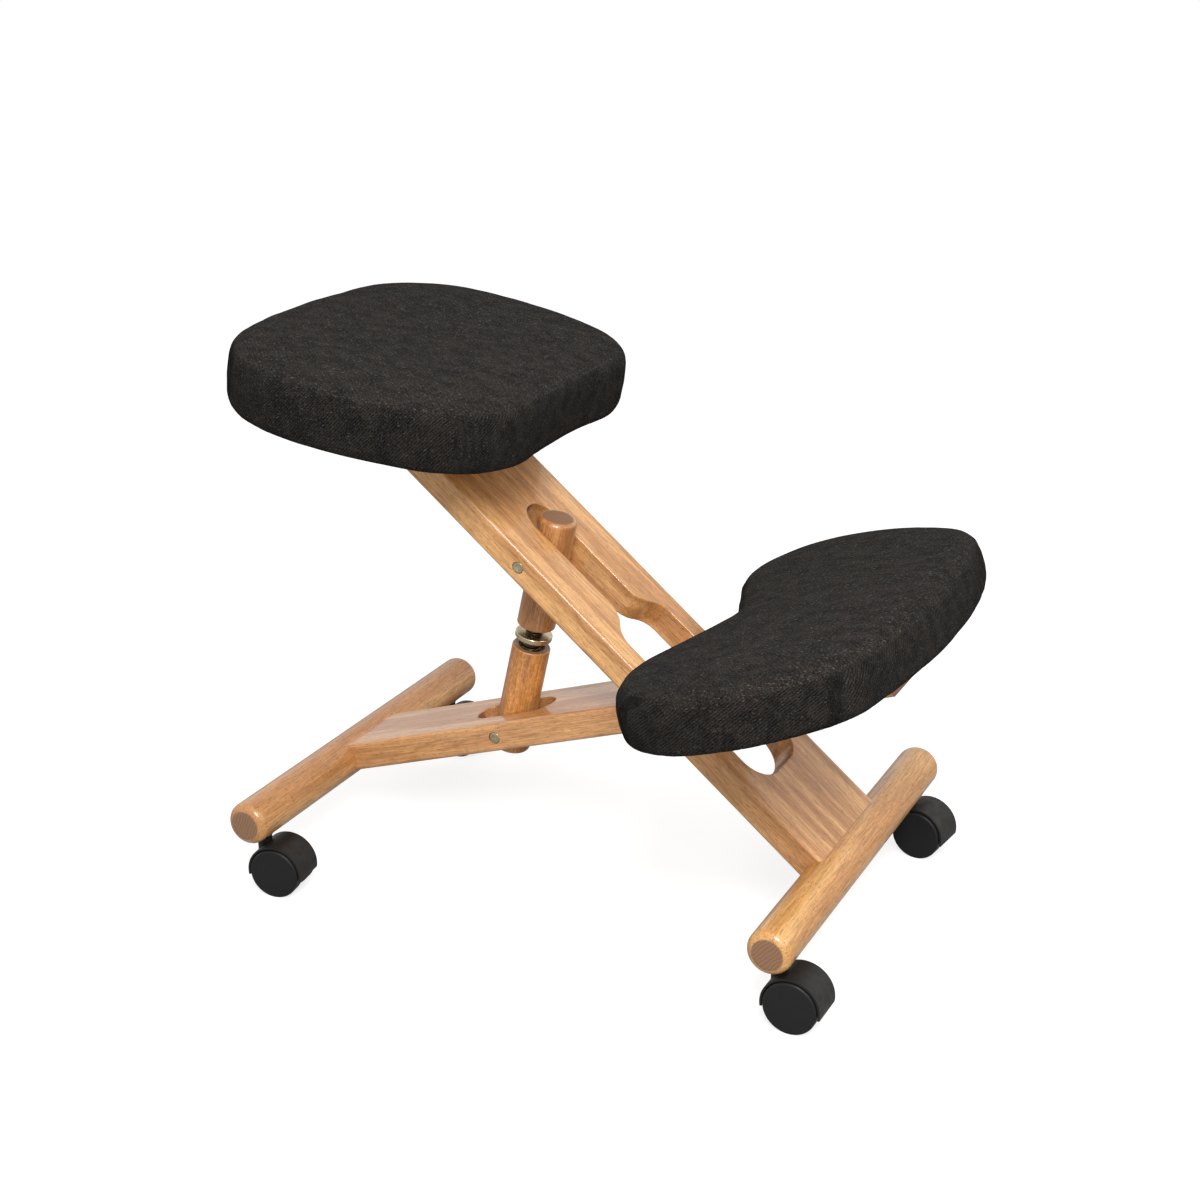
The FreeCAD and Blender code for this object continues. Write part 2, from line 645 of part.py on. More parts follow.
def seat_bolt_cuts():
    """Holes of the seat bolts."""
    return pad_bolt_cuts(SEAT_FRAME, seat_bolt_seats())


def knee_bolt_places():
    """Where the four knee bolts stand, in the knee pad's frame."""
    return [(x, side * KNEE_BOLT_SIDE) for x in KNEE_BOLT_PLACES for side in (-1, 1)]


def knee_bolt_seats():
    """The knee bolt places with the height of each head."""
    beam = (REAR_AXIS, REAR_NORMAL, REAR_THICKNESS)
    return [(x, y, bolt_seat(KNEE_FRAME, x, *beam)) for x, y in knee_bolt_places()]


def knee_bolt_cuts():
    """Holes of the knee bolts."""
    return pad_bolt_cuts(KNEE_FRAME, knee_bolt_seats())


def seat_wedge():
    """Wooden wedge that fills the angle between the main beam and the seat board."""
    corner = seat_corner()
    slope = math.radians(MAIN_ANGLE + SEAT_PITCH)
    low = Vector(corner + SEAT_WEDGE_LENGTH * math.cos(slope), -SEAT_WEDGE_WIDTH / 2,
                 -SEAT_WEDGE_LENGTH * math.sin(slope))
    back = Vector(corner, -SEAT_WEDGE_WIDTH / 2, 0)
    front = Vector(corner + SEAT_WEDGE_LENGTH, -SEAT_WEDGE_WIDTH / 2, 0)
    face = Part.Face(Part.makePolygon([back, front, low, back]))
    wedge = placed(face.extrude(ACROSS * SEAT_WEDGE_WIDTH), SEAT_FRAME)
    return wedge.cut(seat_bolt_cuts())


def knee_wedge():
    """Shim between the rear beam and the knee board, which slopes a little less."""
    top = REAR_THICKNESS / 2
    corners = []
    for x in (KNEE_WEDGE_START, KNEE_WEDGE_END):
        foot = REAR_FRAME.multVec(Vector(x, 0, top))
        ahead = (foot.x - KNEE_X) * math.tan(math.radians(KNEE_PITCH))
        corners.append((foot, Vector(foot.x, 0, KNEE_Z + ahead)))
    (back, back_top), (front, front_top) = corners
    loop = [back, front, front_top, back_top, back]
    side = Vector(0, -KNEE_WEDGE_WIDTH / 2, 0)
    face = Part.Face(Part.makePolygon([point + side for point in loop]))
    return face.extrude(ACROSS * KNEE_WEDGE_WIDTH).cut(knee_bolt_cuts())


def post(above, below, round_top):
    """Dowel round its pivot hole, with one well rounded and one eased end."""
    dowel = rod(POST_R, -below, above)
    rims = [edge for edge in dowel.Edges if len(edge.Vertexes) == 1]
    rims.sort(key=lambda edge: edge.BoundBox.ZMin)
    low, high = (POST_JOINT_ROUND, POST_END_ROUND) if round_top else (POST_END_ROUND, POST_JOINT_ROUND)
    dowel = dowel.makeFillet(high, [rims[-1]])
    rims = [edge for edge in dowel.Edges if edge.BoundBox.ZMax < -below + 0.01]
    dowel = dowel.makeFillet(low, rims)
    return dowel.cut(cross_rod(PIVOT_R + RUNNING_FIT, -POST_DIA, POST_DIA))


def upper_post():
    """Dowel that hangs in the main beam's slot, bored from below for the screw's bush."""
    dowel = post(UPPER_POST_ABOVE, UPPER_POST_BELOW, True)
    bore = rod(BUSH_R + RUNNING_FIT, -UPPER_POST_BELOW - 1, -UPPER_POST_BELOW + BUSH_LENGTH)
    return placed(dowel.cut(bore), UPPER_POST_FRAME)


def lower_post():
    """Dowel that stands in the rear beam's slot, bored from above for nut and screw."""
    dowel = post(LOWER_POST_ABOVE, LOWER_POST_BELOW, False)
    nut_seat = LOWER_POST_ABOVE - NUT_DEPTH - NUT_LENGTH
    recess = rod(NUT_R + RUNNING_FIT, nut_seat, LOWER_POST_ABOVE + 1)
    bore = rod(SCREW_BORE_R, LOWER_POST_ABOVE - SCREW_BORE_DEPTH, LOWER_POST_ABOVE)
    return placed(dowel.cut(recess).cut(bore), LOWER_POST_FRAME)


def post_nut():
    """Threaded nut pressed into the lower post."""
    top = LOWER_POST_ABOVE - NUT_DEPTH
    return placed(tube(NUT_R, SCREW_R + THREAD_GAP, top - NUT_LENGTH, top), LOWER_POST_FRAME)


def post_bush():
    """Cup pressed into the upper post, in which the screw's journal turns."""
    low = -UPPER_POST_BELOW
    cup = rod(BUSH_R, low, low + BUSH_LENGTH)
    cup = cup.cut(rod(JOURNAL_R + RUNNING_FIT, low - 1, low + BUSH_LENGTH - BUSH_END))
    return placed(cup, UPPER_POST_FRAME)


def adjuster_screw():
    """Height screw with a smooth journal above its ring and a thread below."""
    top = -UPPER_POST_BELOW + BUSH_LENGTH - BUSH_END - SEAT_GAP
    tip = LOWER_POST_ABOVE - POST_SPAN - SCREW_DEPTH
    screw = rod(SCREW_R, tip, RING_TOP).fuse(rod(JOURNAL_R, RING_TOP, top))
    return placed(screw, UPPER_POST_FRAME)


def adjuster_ring():
    """Ring that is turned by hand, fixed on the screw between the posts."""
    ring = rod(RING_DIA / 2, RING_BOTTOM, RING_TOP)
    rims = [edge for edge in ring.Edges if len(edge.Vertexes) == 1]
    ring = ring.makeFillet(RING_ROUND, rims)
    ring = ring.cut(rod(SCREW_R, RING_BOTTOM - 1, RING_TOP + 1))
    return placed(ring, UPPER_POST_FRAME)


def fold_bush():
    """Bush through the rear beam that turns on the fold bolt."""
    half = REAR_WIDTH / 2
    body = cross_rod(FOLD_BUSH_R, -half, half)
    body = body.cut(cross_rod(FOLD_R + RUNNING_FIT, -half - 1, half + 1))
    return placed(body, at(FOLD_PIVOT))


def fold_washers():
    """Pair of spacers between the rear beam and the cheeks of the main beam."""
    inner = REAR_WIDTH / 2
    outer = MAIN_SLOT_WIDE_HALF - SEAT_GAP
    washers = []
    for side in (-1, 1):
        start, end = sorted((side * inner, side * outer))
        washer = cross_rod(FOLD_WASHER_R, start, end)
        washer = washer.cut(cross_rod(FOLD_R + SEAT_GAP, start - 1, end + 1))
        washers.append(placed(washer, at(FOLD_PIVOT)))
    return Part.makeCompound(washers)


def caster_frame(axis, y, yaw):
    """Frame on the floor under a swivel axis, its X axis along the trail."""
    return FreeCAD.Placement(Vector(axis.x, y, 0), FreeCAD.Rotation(UP, yaw))


def hood_opening(radius):
    """Wedge round the axle that the hood leaves open below."""
    centre = Vector(CASTER_TRAIL, -CASTER_HALF_WIDTH - 1, WHEEL_R)
    points = [centre]
    for turn in (HOOD_TO, (HOOD_TO + HOOD_FROM) / 2 + 180 - 45, (HOOD_TO + HOOD_FROM) / 2 + 180 + 45,
                 HOOD_FROM + 360):
        angle = math.radians(turn)
        points.append(centre + Vector(math.cos(angle), 0, math.sin(angle)) * radius)
    points.append(centre)
    return Part.Face(Part.makePolygon(points)).extrude(ACROSS * (2 * CASTER_HALF_WIDTH + 2))


def caster_hood():
    """Hood, middle web and swivel hub of one caster, in the caster's frame."""
    half = HOOD_HALF_WIDTH
    inner = WHEEL_R + HOOD_GAP
    outer = inner + HOOD_WALL
    hub_top = CASTER_HEIGHT - STEM_COLLAR
    body = cross_rod(outer, -half, half, CASTER_TRAIL, WHEEL_R)
    body = body.cut(hood_opening(4 * WHEEL_R))
    body = body.fuse(rod(HUB_R, WHEEL_R + HUB_R, hub_top))
    for side in (-1, 1):
        start, end = sorted((side * WEB_HALF, side * (half + 1)))
        body = body.cut(cross_rod(inner, start, end, CASTER_TRAIL, WHEEL_R))
    body = body.fuse(cross_rod(AXLE_BOSS_R, -WEB_HALF, WEB_HALF, CASTER_TRAIL, WHEEL_R))
    body = body.cut(cross_rod(AXLE_R, -half, half, CASTER_TRAIL, WHEEL_R))
    return body.cut(rod(STEM_R + RUNNING_FIT, WHEEL_R + HUB_R, hub_top + 1)).removeSplitter()


def caster_stem():
    """Stem with its collar, from inside the hood up into the crossbar."""
    low = WHEEL_R + HUB_R + SEAT_GAP
    stem = rod(STEM_R, low, CASTER_HEIGHT + STEM_UP)
    collar = rod(STEM_COLLAR_R, CASTER_HEIGHT - STEM_COLLAR + SEAT_GAP, CASTER_HEIGHT + SEAT_GAP)
    return stem.fuse(collar)


def caster_wheel(side):
    """One wheel of a caster, closed outside and hollow towards the web."""
    inner = WEB_HALF + WHEEL_SIDE_GAP
    wheel = cross_rod(WHEEL_R, inner, CASTER_HALF_WIDTH)
    rims = [edge for edge in wheel.Edges if len(edge.Vertexes) == 1]
    wheel = wheel.makeFillet(WHEEL_EDGE, rims)
    hollow = cross_rod(WHEEL_R - WHEEL_RIM, inner - 1, CASTER_HALF_WIDTH - WHEEL_FACE)
    hollow = hollow.cut(cross_rod(AXLE_R + WHEEL_RIM, inner - 1, CASTER_HALF_WIDTH))
    wheel = wheel.cut(hollow)
    wheel = wheel.cut(cross_rod(AXLE_R + RUNNING_FIT, inner - 1, CASTER_HALF_WIDTH - WHEEL_FACE))
    wheel.translate(Vector(CASTER_TRAIL, 0, WHEEL_R))
    if side < 0:
        wheel = wheel.mirror(Vector(0, 0, 0), ACROSS)
    return wheel


def caster_axle():
    """Pin through the web on which both wheels turn."""
    reach = CASTER_HALF_WIDTH - WHEEL_FACE - SEAT_GAP
    return cross_rod(AXLE_R, -reach, reach, CASTER_TRAIL, WHEEL_R)


def casters():
    """All pieces of the four casters, by name."""
    pieces = {}
    for end, axis in (("rear", REAR_AXIS), ("front", FRONT_AXIS)):
        for y, side in zip(caster_places(), ("near", "far")):
            name = end + "_" + side
            frame = caster_frame(axis, y, CASTER_YAW[name])
            pieces["caster_stem_" + name] = placed(caster_stem(), frame)
            pieces["caster_hood_" + name] = placed(caster_hood(), frame)
            pieces["caster_axle_" + name] = placed(caster_axle(), frame)
            outward = -1 if side == "near" else 1
            pieces["caster_wheel_" + name + "_outer"] = placed(caster_wheel(outward), frame)
            pieces["caster_wheel_" + name + "_inner"] = placed(caster_wheel(-outward), frame)
    return pieces


def rear_frame():
    """Rear beam with its crossbar, knee pad and fold bush, by name."""
    circles, joins = knee_outline()
    rings = pad_profile(KNEE_HEIGHT, KNEE_TOP_ROUND, KNEE_BOTTOM_ROUND,
                        KNEE_TOP_DRAW, KNEE_BOTTOM_DRAW)
    board = pad_board(circles, joins, knee_bolt_places())
    nuts = [placed(tee_nut(x, y), KNEE_FRAME) for x, y in knee_bolt_places()]
    return {
        "rear_beam": rear_beam(),
        "rear_crossbar": crossbar(REAR_AXIS, REAR_FRAME, REAR_WIDTH, REAR_THICKNESS),
        "rear_bar_bolts": placed(bar_bolts(REAR_WIDTH), REAR_FRAME),
        "rear_barrel_nuts": placed(barrel_nuts(REAR_WIDTH), REAR_FRAME),
        "rear_caster_sleeves": caster_sleeves(REAR_AXIS),
        "fold_bush": fold_bush(),
        "fold_washers": fold_washers(),
        "knee_wedge": knee_wedge(),
        "knee_board": placed(board, KNEE_FRAME),
        "knee_cushion": placed(cushion(circles, joins, rings), KNEE_FRAME),
        "knee_bolts": pad_bolts(KNEE_FRAME, knee_bolt_seats()),
        "knee_tee_nuts": Part.makeCompound(nuts),
    }


def main_frame():
    """Main beam with its crossbar and seat, by name."""
    circles, joins = seat_outline()
    rings = pad_profile(SEAT_HEIGHT, SEAT_TOP_ROUND, SEAT_BOTTOM_ROUND,
                        SEAT_TOP_DRAW, SEAT_BOTTOM_DRAW)
    board = pad_board(circles, joins, seat_bolt_places())
    nuts = [placed(tee_nut(x, y), SEAT_FRAME) for x, y in seat_bolt_places()]
    return {
        "main_beam": main_beam(),
        "front_crossbar": crossbar(FRONT_AXIS, MAIN_FRAME, MAIN_WIDTH, MAIN_THICKNESS),
        "front_bar_bolts": placed(bar_bolts(MAIN_WIDTH), MAIN_FRAME),
        "front_barrel_nuts": placed(barrel_nuts(MAIN_WIDTH), MAIN_FRAME),
        "front_caster_sleeves": caster_sleeves(FRONT_AXIS),
        "seat_wedge": seat_wedge(),
        "seat_board": placed(board, SEAT_FRAME),
        "seat_cushion": placed(cushion(circles, joins, rings), SEAT_FRAME),
        "seat_bolts": pad_bolts(SEAT_FRAME, seat_bolt_seats()),
        "seat_tee_nuts": Part.makeCompound(nuts),
    }


def height_adjuster():
    """Posts, screw and pivot bolts between the two beams, by name."""
    pivot = (PIVOT_R, PIVOT_THREAD_R, PIVOT_HEAD_R, PIVOT_HEAD, PIVOT_SLEEVE)
    fold = (FOLD_R, FOLD_THREAD_R, FOLD_HEAD_R, FOLD_HEAD, FOLD_SLEEVE)
    return {
        "upper_post": upper_post(),
        "lower_post": lower_post(),
        "post_bush": post_bush(),
        "post_nut": post_nut(),
        "adjuster_screw": adjuster_screw(),
        "adjuster_ring": adjuster_ring(),
        "upper_pivot_bolt": placed(pivot_bolt(MAIN_WIDTH / 2, *pivot), at(UPPER_PIVOT)),
        "upper_pivot_nut": placed(pivot_nut(MAIN_WIDTH / 2, *pivot), at(UPPER_PIVOT)),
        "lower_pivot_bolt": placed(pivot_bolt(REAR_WIDTH / 2, *pivot), at(LOWER_PIVOT)),
        "lower_pivot_nut": placed(pivot_nut(REAR_WIDTH / 2, *pivot), at(LOWER_PIVOT)),
        "fold_bolt": placed(pivot_bolt(MAIN_WIDTH / 2, *fold), at(FOLD_PIVOT)),
        "fold_nut": placed(pivot_nut(MAIN_WIDTH / 2, *fold), at(FOLD_PIVOT)),
    }


def middle_of(shapes):
    """Middle of the chair's length."""
    boxes = [shape.optimalBoundingBox(False, False) for shape in shapes]
    return (min(box.XMin for box in boxes) + max(box.XMax for box in boxes)) / 2


def build():
    """All pieces by name, with the origin under the middle of the chair."""
    pieces = {**rear_frame(), **main_frame(), **height_adjuster(), **casters()}
    shift = Vector(-middle_of(pieces.values()), 0, 0)
    for shape in pieces.values():
        shape.translate(shift)
    return pieces, shift


def export(pieces):
    """Write one STEP file for each piece."""
    os.makedirs("parts", exist_ok=True)
    for name, shape in pieces.items():
        shape.exportStep("parts/" + name + ".step")


if __name__ == "__main__":
    chair, moved_by = build()
    export(chair)
    print("pieces", len(chair), "moved by", round(moved_by.x, 4))
    for name, shape in chair.items():
        if not shape.isValid() or not shape.Solids:
            print("not a sound solid:", name)
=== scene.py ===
"""Looks of a kneeling chair: two wool pads on a folding wooden frame with four castors.

Everything is in metres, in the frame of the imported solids: X forward, Z up, floor at zero.
"""

import json
import logging
import math
from dataclasses import dataclass, field
from enum import Enum
from typing import Any, Dict, List, Sequence, Tuple

import bpy
from mathutils import Matrix, Vector

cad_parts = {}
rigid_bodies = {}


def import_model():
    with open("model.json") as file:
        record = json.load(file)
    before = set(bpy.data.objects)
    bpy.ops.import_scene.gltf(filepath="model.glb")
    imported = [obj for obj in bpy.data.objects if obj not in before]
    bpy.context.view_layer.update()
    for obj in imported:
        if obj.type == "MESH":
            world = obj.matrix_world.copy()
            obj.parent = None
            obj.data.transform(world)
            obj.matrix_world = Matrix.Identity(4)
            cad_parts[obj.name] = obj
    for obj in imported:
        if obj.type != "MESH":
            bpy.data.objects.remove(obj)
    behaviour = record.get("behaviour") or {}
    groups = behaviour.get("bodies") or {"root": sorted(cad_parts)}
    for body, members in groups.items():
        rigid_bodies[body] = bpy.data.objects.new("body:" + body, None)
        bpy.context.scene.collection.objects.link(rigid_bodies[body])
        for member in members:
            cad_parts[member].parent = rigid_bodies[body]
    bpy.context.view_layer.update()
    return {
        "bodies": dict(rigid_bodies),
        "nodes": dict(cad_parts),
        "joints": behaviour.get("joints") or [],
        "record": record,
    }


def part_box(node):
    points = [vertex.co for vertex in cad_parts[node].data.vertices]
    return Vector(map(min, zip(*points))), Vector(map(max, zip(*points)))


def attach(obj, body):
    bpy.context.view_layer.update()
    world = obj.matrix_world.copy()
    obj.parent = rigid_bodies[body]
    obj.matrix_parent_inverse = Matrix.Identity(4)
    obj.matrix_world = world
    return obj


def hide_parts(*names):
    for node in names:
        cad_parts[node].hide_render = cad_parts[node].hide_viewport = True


LOG = logging.getLogger("kneeling_chair")

Colour = Tuple[float, float, float]
Point = Tuple[float, float, float]

MM = 0.001
MAIN_ANGLE = math.radians(39.4)
REAR_ANGLE = math.radians(18.6)
POST_TILT = math.radians(13.0)
SEAT_PITCH = math.radians(-8.67)
KNEE_PITCH = math.radians(16.4)
CORNERS = ("rear_near", "rear_far", "front_near", "front_far")


class Grain(Enum):
    """Direction in which the fibres of a wooden piece run."""

    MAIN_BEAM = "main_beam"
    REAR_BEAM = "rear_beam"
    CROSSBAR = "crossbar"
    POST = "post"

    def turn(self) -> Point:
        """Give the Euler turn that lays the fibres along X.

        Args:
            None.

        Returns:
            Three angles in radians.
        """
        turns = {
            Grain.MAIN_BEAM: (0.0, -MAIN_ANGLE, 0.0),
            Grain.REAR_BEAM: (0.0, REAR_ANGLE, 0.0),
            Grain.CROSSBAR: (0.0, 0.0, -math.pi / 2),
            Grain.POST: (0.0, math.pi / 2 - POST_TILT, 0.0),
        }
        return turns[self]


class Graph:
    """Adds and joins the nodes of one material or node group."""

    def __init__(self, tree: bpy.types.NodeTree) -> None:
        """Start on a tree.

        Args:
            tree: The node tree to fill.

        Returns:
            None.
        """
        self.tree = tree
        self.column = 0

    def add(self, kind: str, inputs: Dict[Any, Any] = None, **settings: Any) -> bpy.types.Node:
        """Add one node.

        Args:
            kind: The node's type name.
            inputs: Values or output sockets for its inputs, by name or number.
            **settings: Properties of the node.

        Returns:
            The new node.
        """
        node = self.tree.nodes.new(kind)
        node.location = (self.column * 190.0, -(self.column % 5) * 170.0)
        self.column += 1
        for key, value in settings.items():
            setattr(node, key, value)
        for key, value in (inputs or {}).items():
            self.feed(node.inputs[key], value)
        return node

    def feed(self, socket: bpy.types.NodeSocket, value: Any) -> None:
        """Join a socket to another one, or give it a value.

        Args:
            socket: The input.
            value: An output socket or a constant.

        Returns:
            None.
        """
        if isinstance(value, bpy.types.NodeSocket):
            self.tree.links.new(value, socket)
        else:
            socket.default_value = value

    def math(self, operation: str, *values: Any, clamp: bool = False) -> bpy.types.NodeSocket:
        """Add a Math node.

        Args:
            operation: Its operation.
            *values: Its inputs in order.
            clamp: Whether the result is held between 0 and 1.

        Returns:
            The result's socket.
        """
        node = self.add("ShaderNodeMath", dict(enumerate(values)), operation=operation, use_clamp=clamp)
        return node.outputs[0]

    def vector(self, operation: str, *values: Any) -> bpy.types.NodeSocket:
        """Add a Vector Math node.

        Args:
            operation: Its operation.
            *values: Its inputs in order.

        Returns:
            The vector result's socket, or the value's for a dot product or length.
        """
        node = self.add("ShaderNodeVectorMath", dict(enumerate(values)), operation=operation)
        single = operation in ("DOT_PRODUCT", "LENGTH", "DISTANCE")
        return node.outputs["Value" if single else "Vector"]

    def noise(self, where: Any, detail: float = 2.0, warp: float = 0.0, rough: float = 0.5) -> bpy.types.NodeSocket:
        """Add a noise texture at scale 1.

        Args:
            where: The position, already scaled.
            detail: Its octaves.
            warp: Its distortion.
            rough: How strong the finer octaves are.

        Returns:
            The noise value's socket.
        """
        inputs = {"Vector": where, "Scale": 1.0, "Detail": detail, "Distortion": warp, "Roughness": rough}
        return self.add("ShaderNodeTexNoise", inputs).outputs[0]

    def ramp(self, value: Any, low: float, high: float, to_low: float = 0.0, to_high: float = 1.0) -> Any:
        """Map a range of values smoothly onto another one.

        Args:
            value: The input.
            low: Where the range starts.
            high: Where it ends.
            to_low: The result at the start.
            to_high: The result at the end.

        Returns:
            The result's socket.
        """
        inputs = {"Value": value, "From Min": low, "From Max": high, "To Min": to_low, "To Max": to_high}
        node = self.add("ShaderNodeMapRange", inputs, interpolation_type="SMOOTHSTEP", clamp=True)
        return node.outputs[0]

    def mix(self, amount: Any, first: Any, second: Any, blend: str = "MIX") -> bpy.types.NodeSocket:
        """Mix two colours.

        Args:
            amount: Share of the second colour.
            first: First colour.
            second: Second colour.
            blend: Way of blending.

        Returns:
            The mixed colour's socket.
        """
        node = self.add("ShaderNodeMix", data_type="RGBA", blend_type=blend)
        self.feed(node.inputs[0], amount)
        for socket, value in ((node.inputs[6], first), (node.inputs[7], second)):
            is_plain = not isinstance(value, bpy.types.NodeSocket) and len(value) == 3
            self.feed(socket, (*value, 1.0) if is_plain else value)
        return node.outputs[2]

    def split(self, vector: Any) -> Tuple[Any, Any, Any]:
        """Split a vector.

        Args:
            vector: The vector's socket.

        Returns:
            Its three parts.
        """
        node = self.add("ShaderNodeSeparateXYZ", {0: vector})
        return tuple(node.outputs)

    def join(self, x: Any, y: Any, z: Any) -> bpy.types.NodeSocket:
        """Make a vector of three values.

        Args:
            x: First part.
            y: Second part.
            z: Third part.

        Returns:
            The vector's socket.
        """
        return self.add("ShaderNodeCombineXYZ", {0: x, 1: y, 2: z}).outputs[0]


def new_group(name: str, inputs: Sequence[Tuple[str, str]], outputs: Sequence[Tuple[str, str]]) -> Tuple[Any, ...]:
    """Start a node group.

    Args:
        name: Its name.
        inputs: Names and kinds of its inputs.
        outputs: Names and kinds of its outputs.

    Returns:
        The group, its graph, the node with its inputs and the node for its outputs.
    """
    tree = bpy.data.node_groups.new(name, "ShaderNodeTree")
    for side, sockets in (("INPUT", inputs), ("OUTPUT", outputs)):
        for label, kind in sockets:
            tree.interface.new_socket(name=label, in_out=side, socket_type="NodeSocket" + kind)
    graph = Graph(tree)
    start = graph.add("NodeGroupInput")
    end = graph.add("NodeGroupOutput")
    return tree, graph, start, end


def wood_group() -> bpy.types.NodeTree:
    """Make the figure of the hardwood: streaks, growth lines, fibres and pores.

    Args:
        None.

    Returns:
        The node group. Its position input has the fibres along X.
    """
    inputs = (("Position", "Vector"), ("Light", "Color"), ("Dark", "Color"), ("Mottle", "Float"))
    outputs = (("Color", "Color"), ("Height", "Float"), ("Gloss", "Float"))
    tree, g, start, end = new_group("wood_figure", inputs, outputs)
    where = start.outputs["Position"]
    streaks = g.noise(g.vector("MULTIPLY", where, (4.5, 62.0, 48.0)), 3.0, 0.5)
    drift = g.noise(g.vector("MULTIPLY", where, (9.0, 30.0, 30.0)), 1.0)
    fibres = g.noise(g.vector("MULTIPLY", where, (38.0, 900.0, 900.0)), 2.0)
    pores = g.noise(g.vector("MULTIPLY", where, (155.0, 1150.0, 1150.0)), 1.0)
    mottle = g.noise(g.vector("MULTIPLY", where, (150.0, 210.0, 210.0)), 2.0, 1.2)
    x, y, z = g.split(where)
    across = g.math("ADD", g.math("MULTIPLY", y, 105.0), g.math("MULTIPLY", z, 70.0))
    phase = g.math("ADD", across, g.math("MULTIPLY", drift, 7.0))
    rings = g.math("SINE", g.math("MULTIPLY", phase, 2.0 * math.pi))
    lines = g.ramp(rings, 0.1, 1.0)
    tone = g.math("ADD", g.ramp(streaks, 0.35, 0.66), g.math("MULTIPLY", lines, 0.24), clamp=True)
    colour = g.mix(tone, start.outputs["Light"], start.outputs["Dark"])
    fibre_tone = g.ramp(fibres, 0.28, 0.72, 0.76, 1.18)
    pore_mask = g.ramp(pores, 0.60, 0.70)
    pore_tone = g.math("SUBTRACT", 1.0, g.math("MULTIPLY", pore_mask, 0.42))
    spots = g.math("MULTIPLY", g.ramp(mottle, 0.35, 0.68, -1.0, 1.0), start.outputs["Mottle"])
    shade = g.math("MULTIPLY", g.math("MULTIPLY", fibre_tone, pore_tone), g.math("ADD", 1.0, spots))
    colour = g.mix(1.0, colour, g.join(shade, shade, shade), "MULTIPLY")
    height = g.math("SUBTRACT", g.math("MULTIPLY", fibres, 0.25), g.math("MULTIPLY", pore_mask, 0.6))
    g.feed(end.inputs["Color"], colour)
    g.feed(end.inputs["Height"], height)
    g.feed(end.inputs["Gloss"], g.ramp(streaks, 0.2, 0.8, 0.0, 1.0))
    return tree


def end_grain_group() -> bpy.types.NodeTree:
    """Make the sawn end of the hardwood: year rings and open pores.

    Args:
        None.

    Returns:
        The node group. Its position input has the fibres along X.
    """
    tree, g, start, end = new_group("wood_end", (("Position", "Vector"),), (("Color", "Color"), ("Height", "Float")))
    flat = g.vector("MULTIPLY", start.outputs["Position"], (0.0, 1.0, 1.0))
    wander = g.noise(g.vector("MULTIPLY", flat, (90.0, 90.0, 90.0)), 2.0)
    away = g.vector("LENGTH", g.vector("ADD", flat, (0.0, 0.021, 0.047)))
    phase = g.math("ADD", g.math("MULTIPLY", away, 330.0), g.math("MULTIPLY", wander, 1.6))
    rings = g.ramp(g.math("SINE", g.math("MULTIPLY", phase, 2.0 * math.pi)), -0.6, 1.0)
    pores = g.ramp(g.noise(g.vector("MULTIPLY", flat, (1500.0, 1500.0, 1500.0)), 1.0), 0.55, 0.68)
    colour = g.mix(rings, (0.275, 0.140, 0.068), (0.215, 0.106, 0.050))
    colour = g.mix(g.math("MULTIPLY", pores, 0.35), colour, (0.12, 0.068, 0.04))
    g.feed(end.inputs["Color"], colour)
    g.feed(end.inputs["Height"], g.math("SUBTRACT", 0.0, pores))
    return tree


@dataclass(frozen=True)
class Fleck:
    """One size of coloured fibre in the wool."""

    size: float
    share: float
    strength: float
    stretch: Point


FLECKS = (
    Fleck(2.2, 0.50, 0.72, (1.0, 2.6, 2.2)),
    Fleck(1.3, 0.48, 0.55, (1.0, 1.8, 1.6)),
    Fleck(5.0, 0.80, 1.00, (1.0, 5.0, 4.2)),
)
FLECK_TINTS = (
    (0.0, (0.120, 0.112, 0.100)),
    (0.30, (0.080, 0.092, 0.084)),
    (0.52, (0.135, 0.080, 0.070)),
    (0.66, (0.150, 0.145, 0.130)),
    (0.80, (0.060, 0.070, 0.125)),
    (0.92, (0.160, 0.110, 0.070)),
)
HEATHER_DARK = (0.0128, 0.0116, 0.0106)
HEATHER_LIGHT = (0.0218, 0.0188, 0.0166)
RIB_PITCH = 3.2 * MM
RIB_ON_TOP = 0.10
RIB_MORE_ON_SIDE = 0.30
# Painted shade: share by which the cloth's colour is darkened on the sides of the pads, standing in for less light
# falling there.
PAINTED_SIDE_SHADE = 0.20
SIDE_FLECK_LOSS = 0.45
FIBRE_BEND = (0.0035, 0.0035, 0.0035)


def fleck_tint(g: Graph, hue: Any) -> bpy.types.NodeSocket:
    """Choose one of the fibre colours.

    Args:
        g: The graph to add to.
        hue: Value between 0 and 1 that chooses.

    Returns:
        The colour's socket.
    """
    tint = g.add("ShaderNodeValToRGB", {"Fac": hue})
    ramp = tint.color_ramp
    ramp.interpolation = "CONSTANT"
    ramp.elements[0].color = (*FLECK_TINTS[0][1], 1.0)
    ramp.elements[1].position = FLECK_TINTS[1][0]
    ramp.elements[1].color = (*FLECK_TINTS[1][1], 1.0)
    for position, value in FLECK_TINTS[2:]:
        ramp.elements.new(position).color = (*value, 1.0)
    return tint.outputs[0]


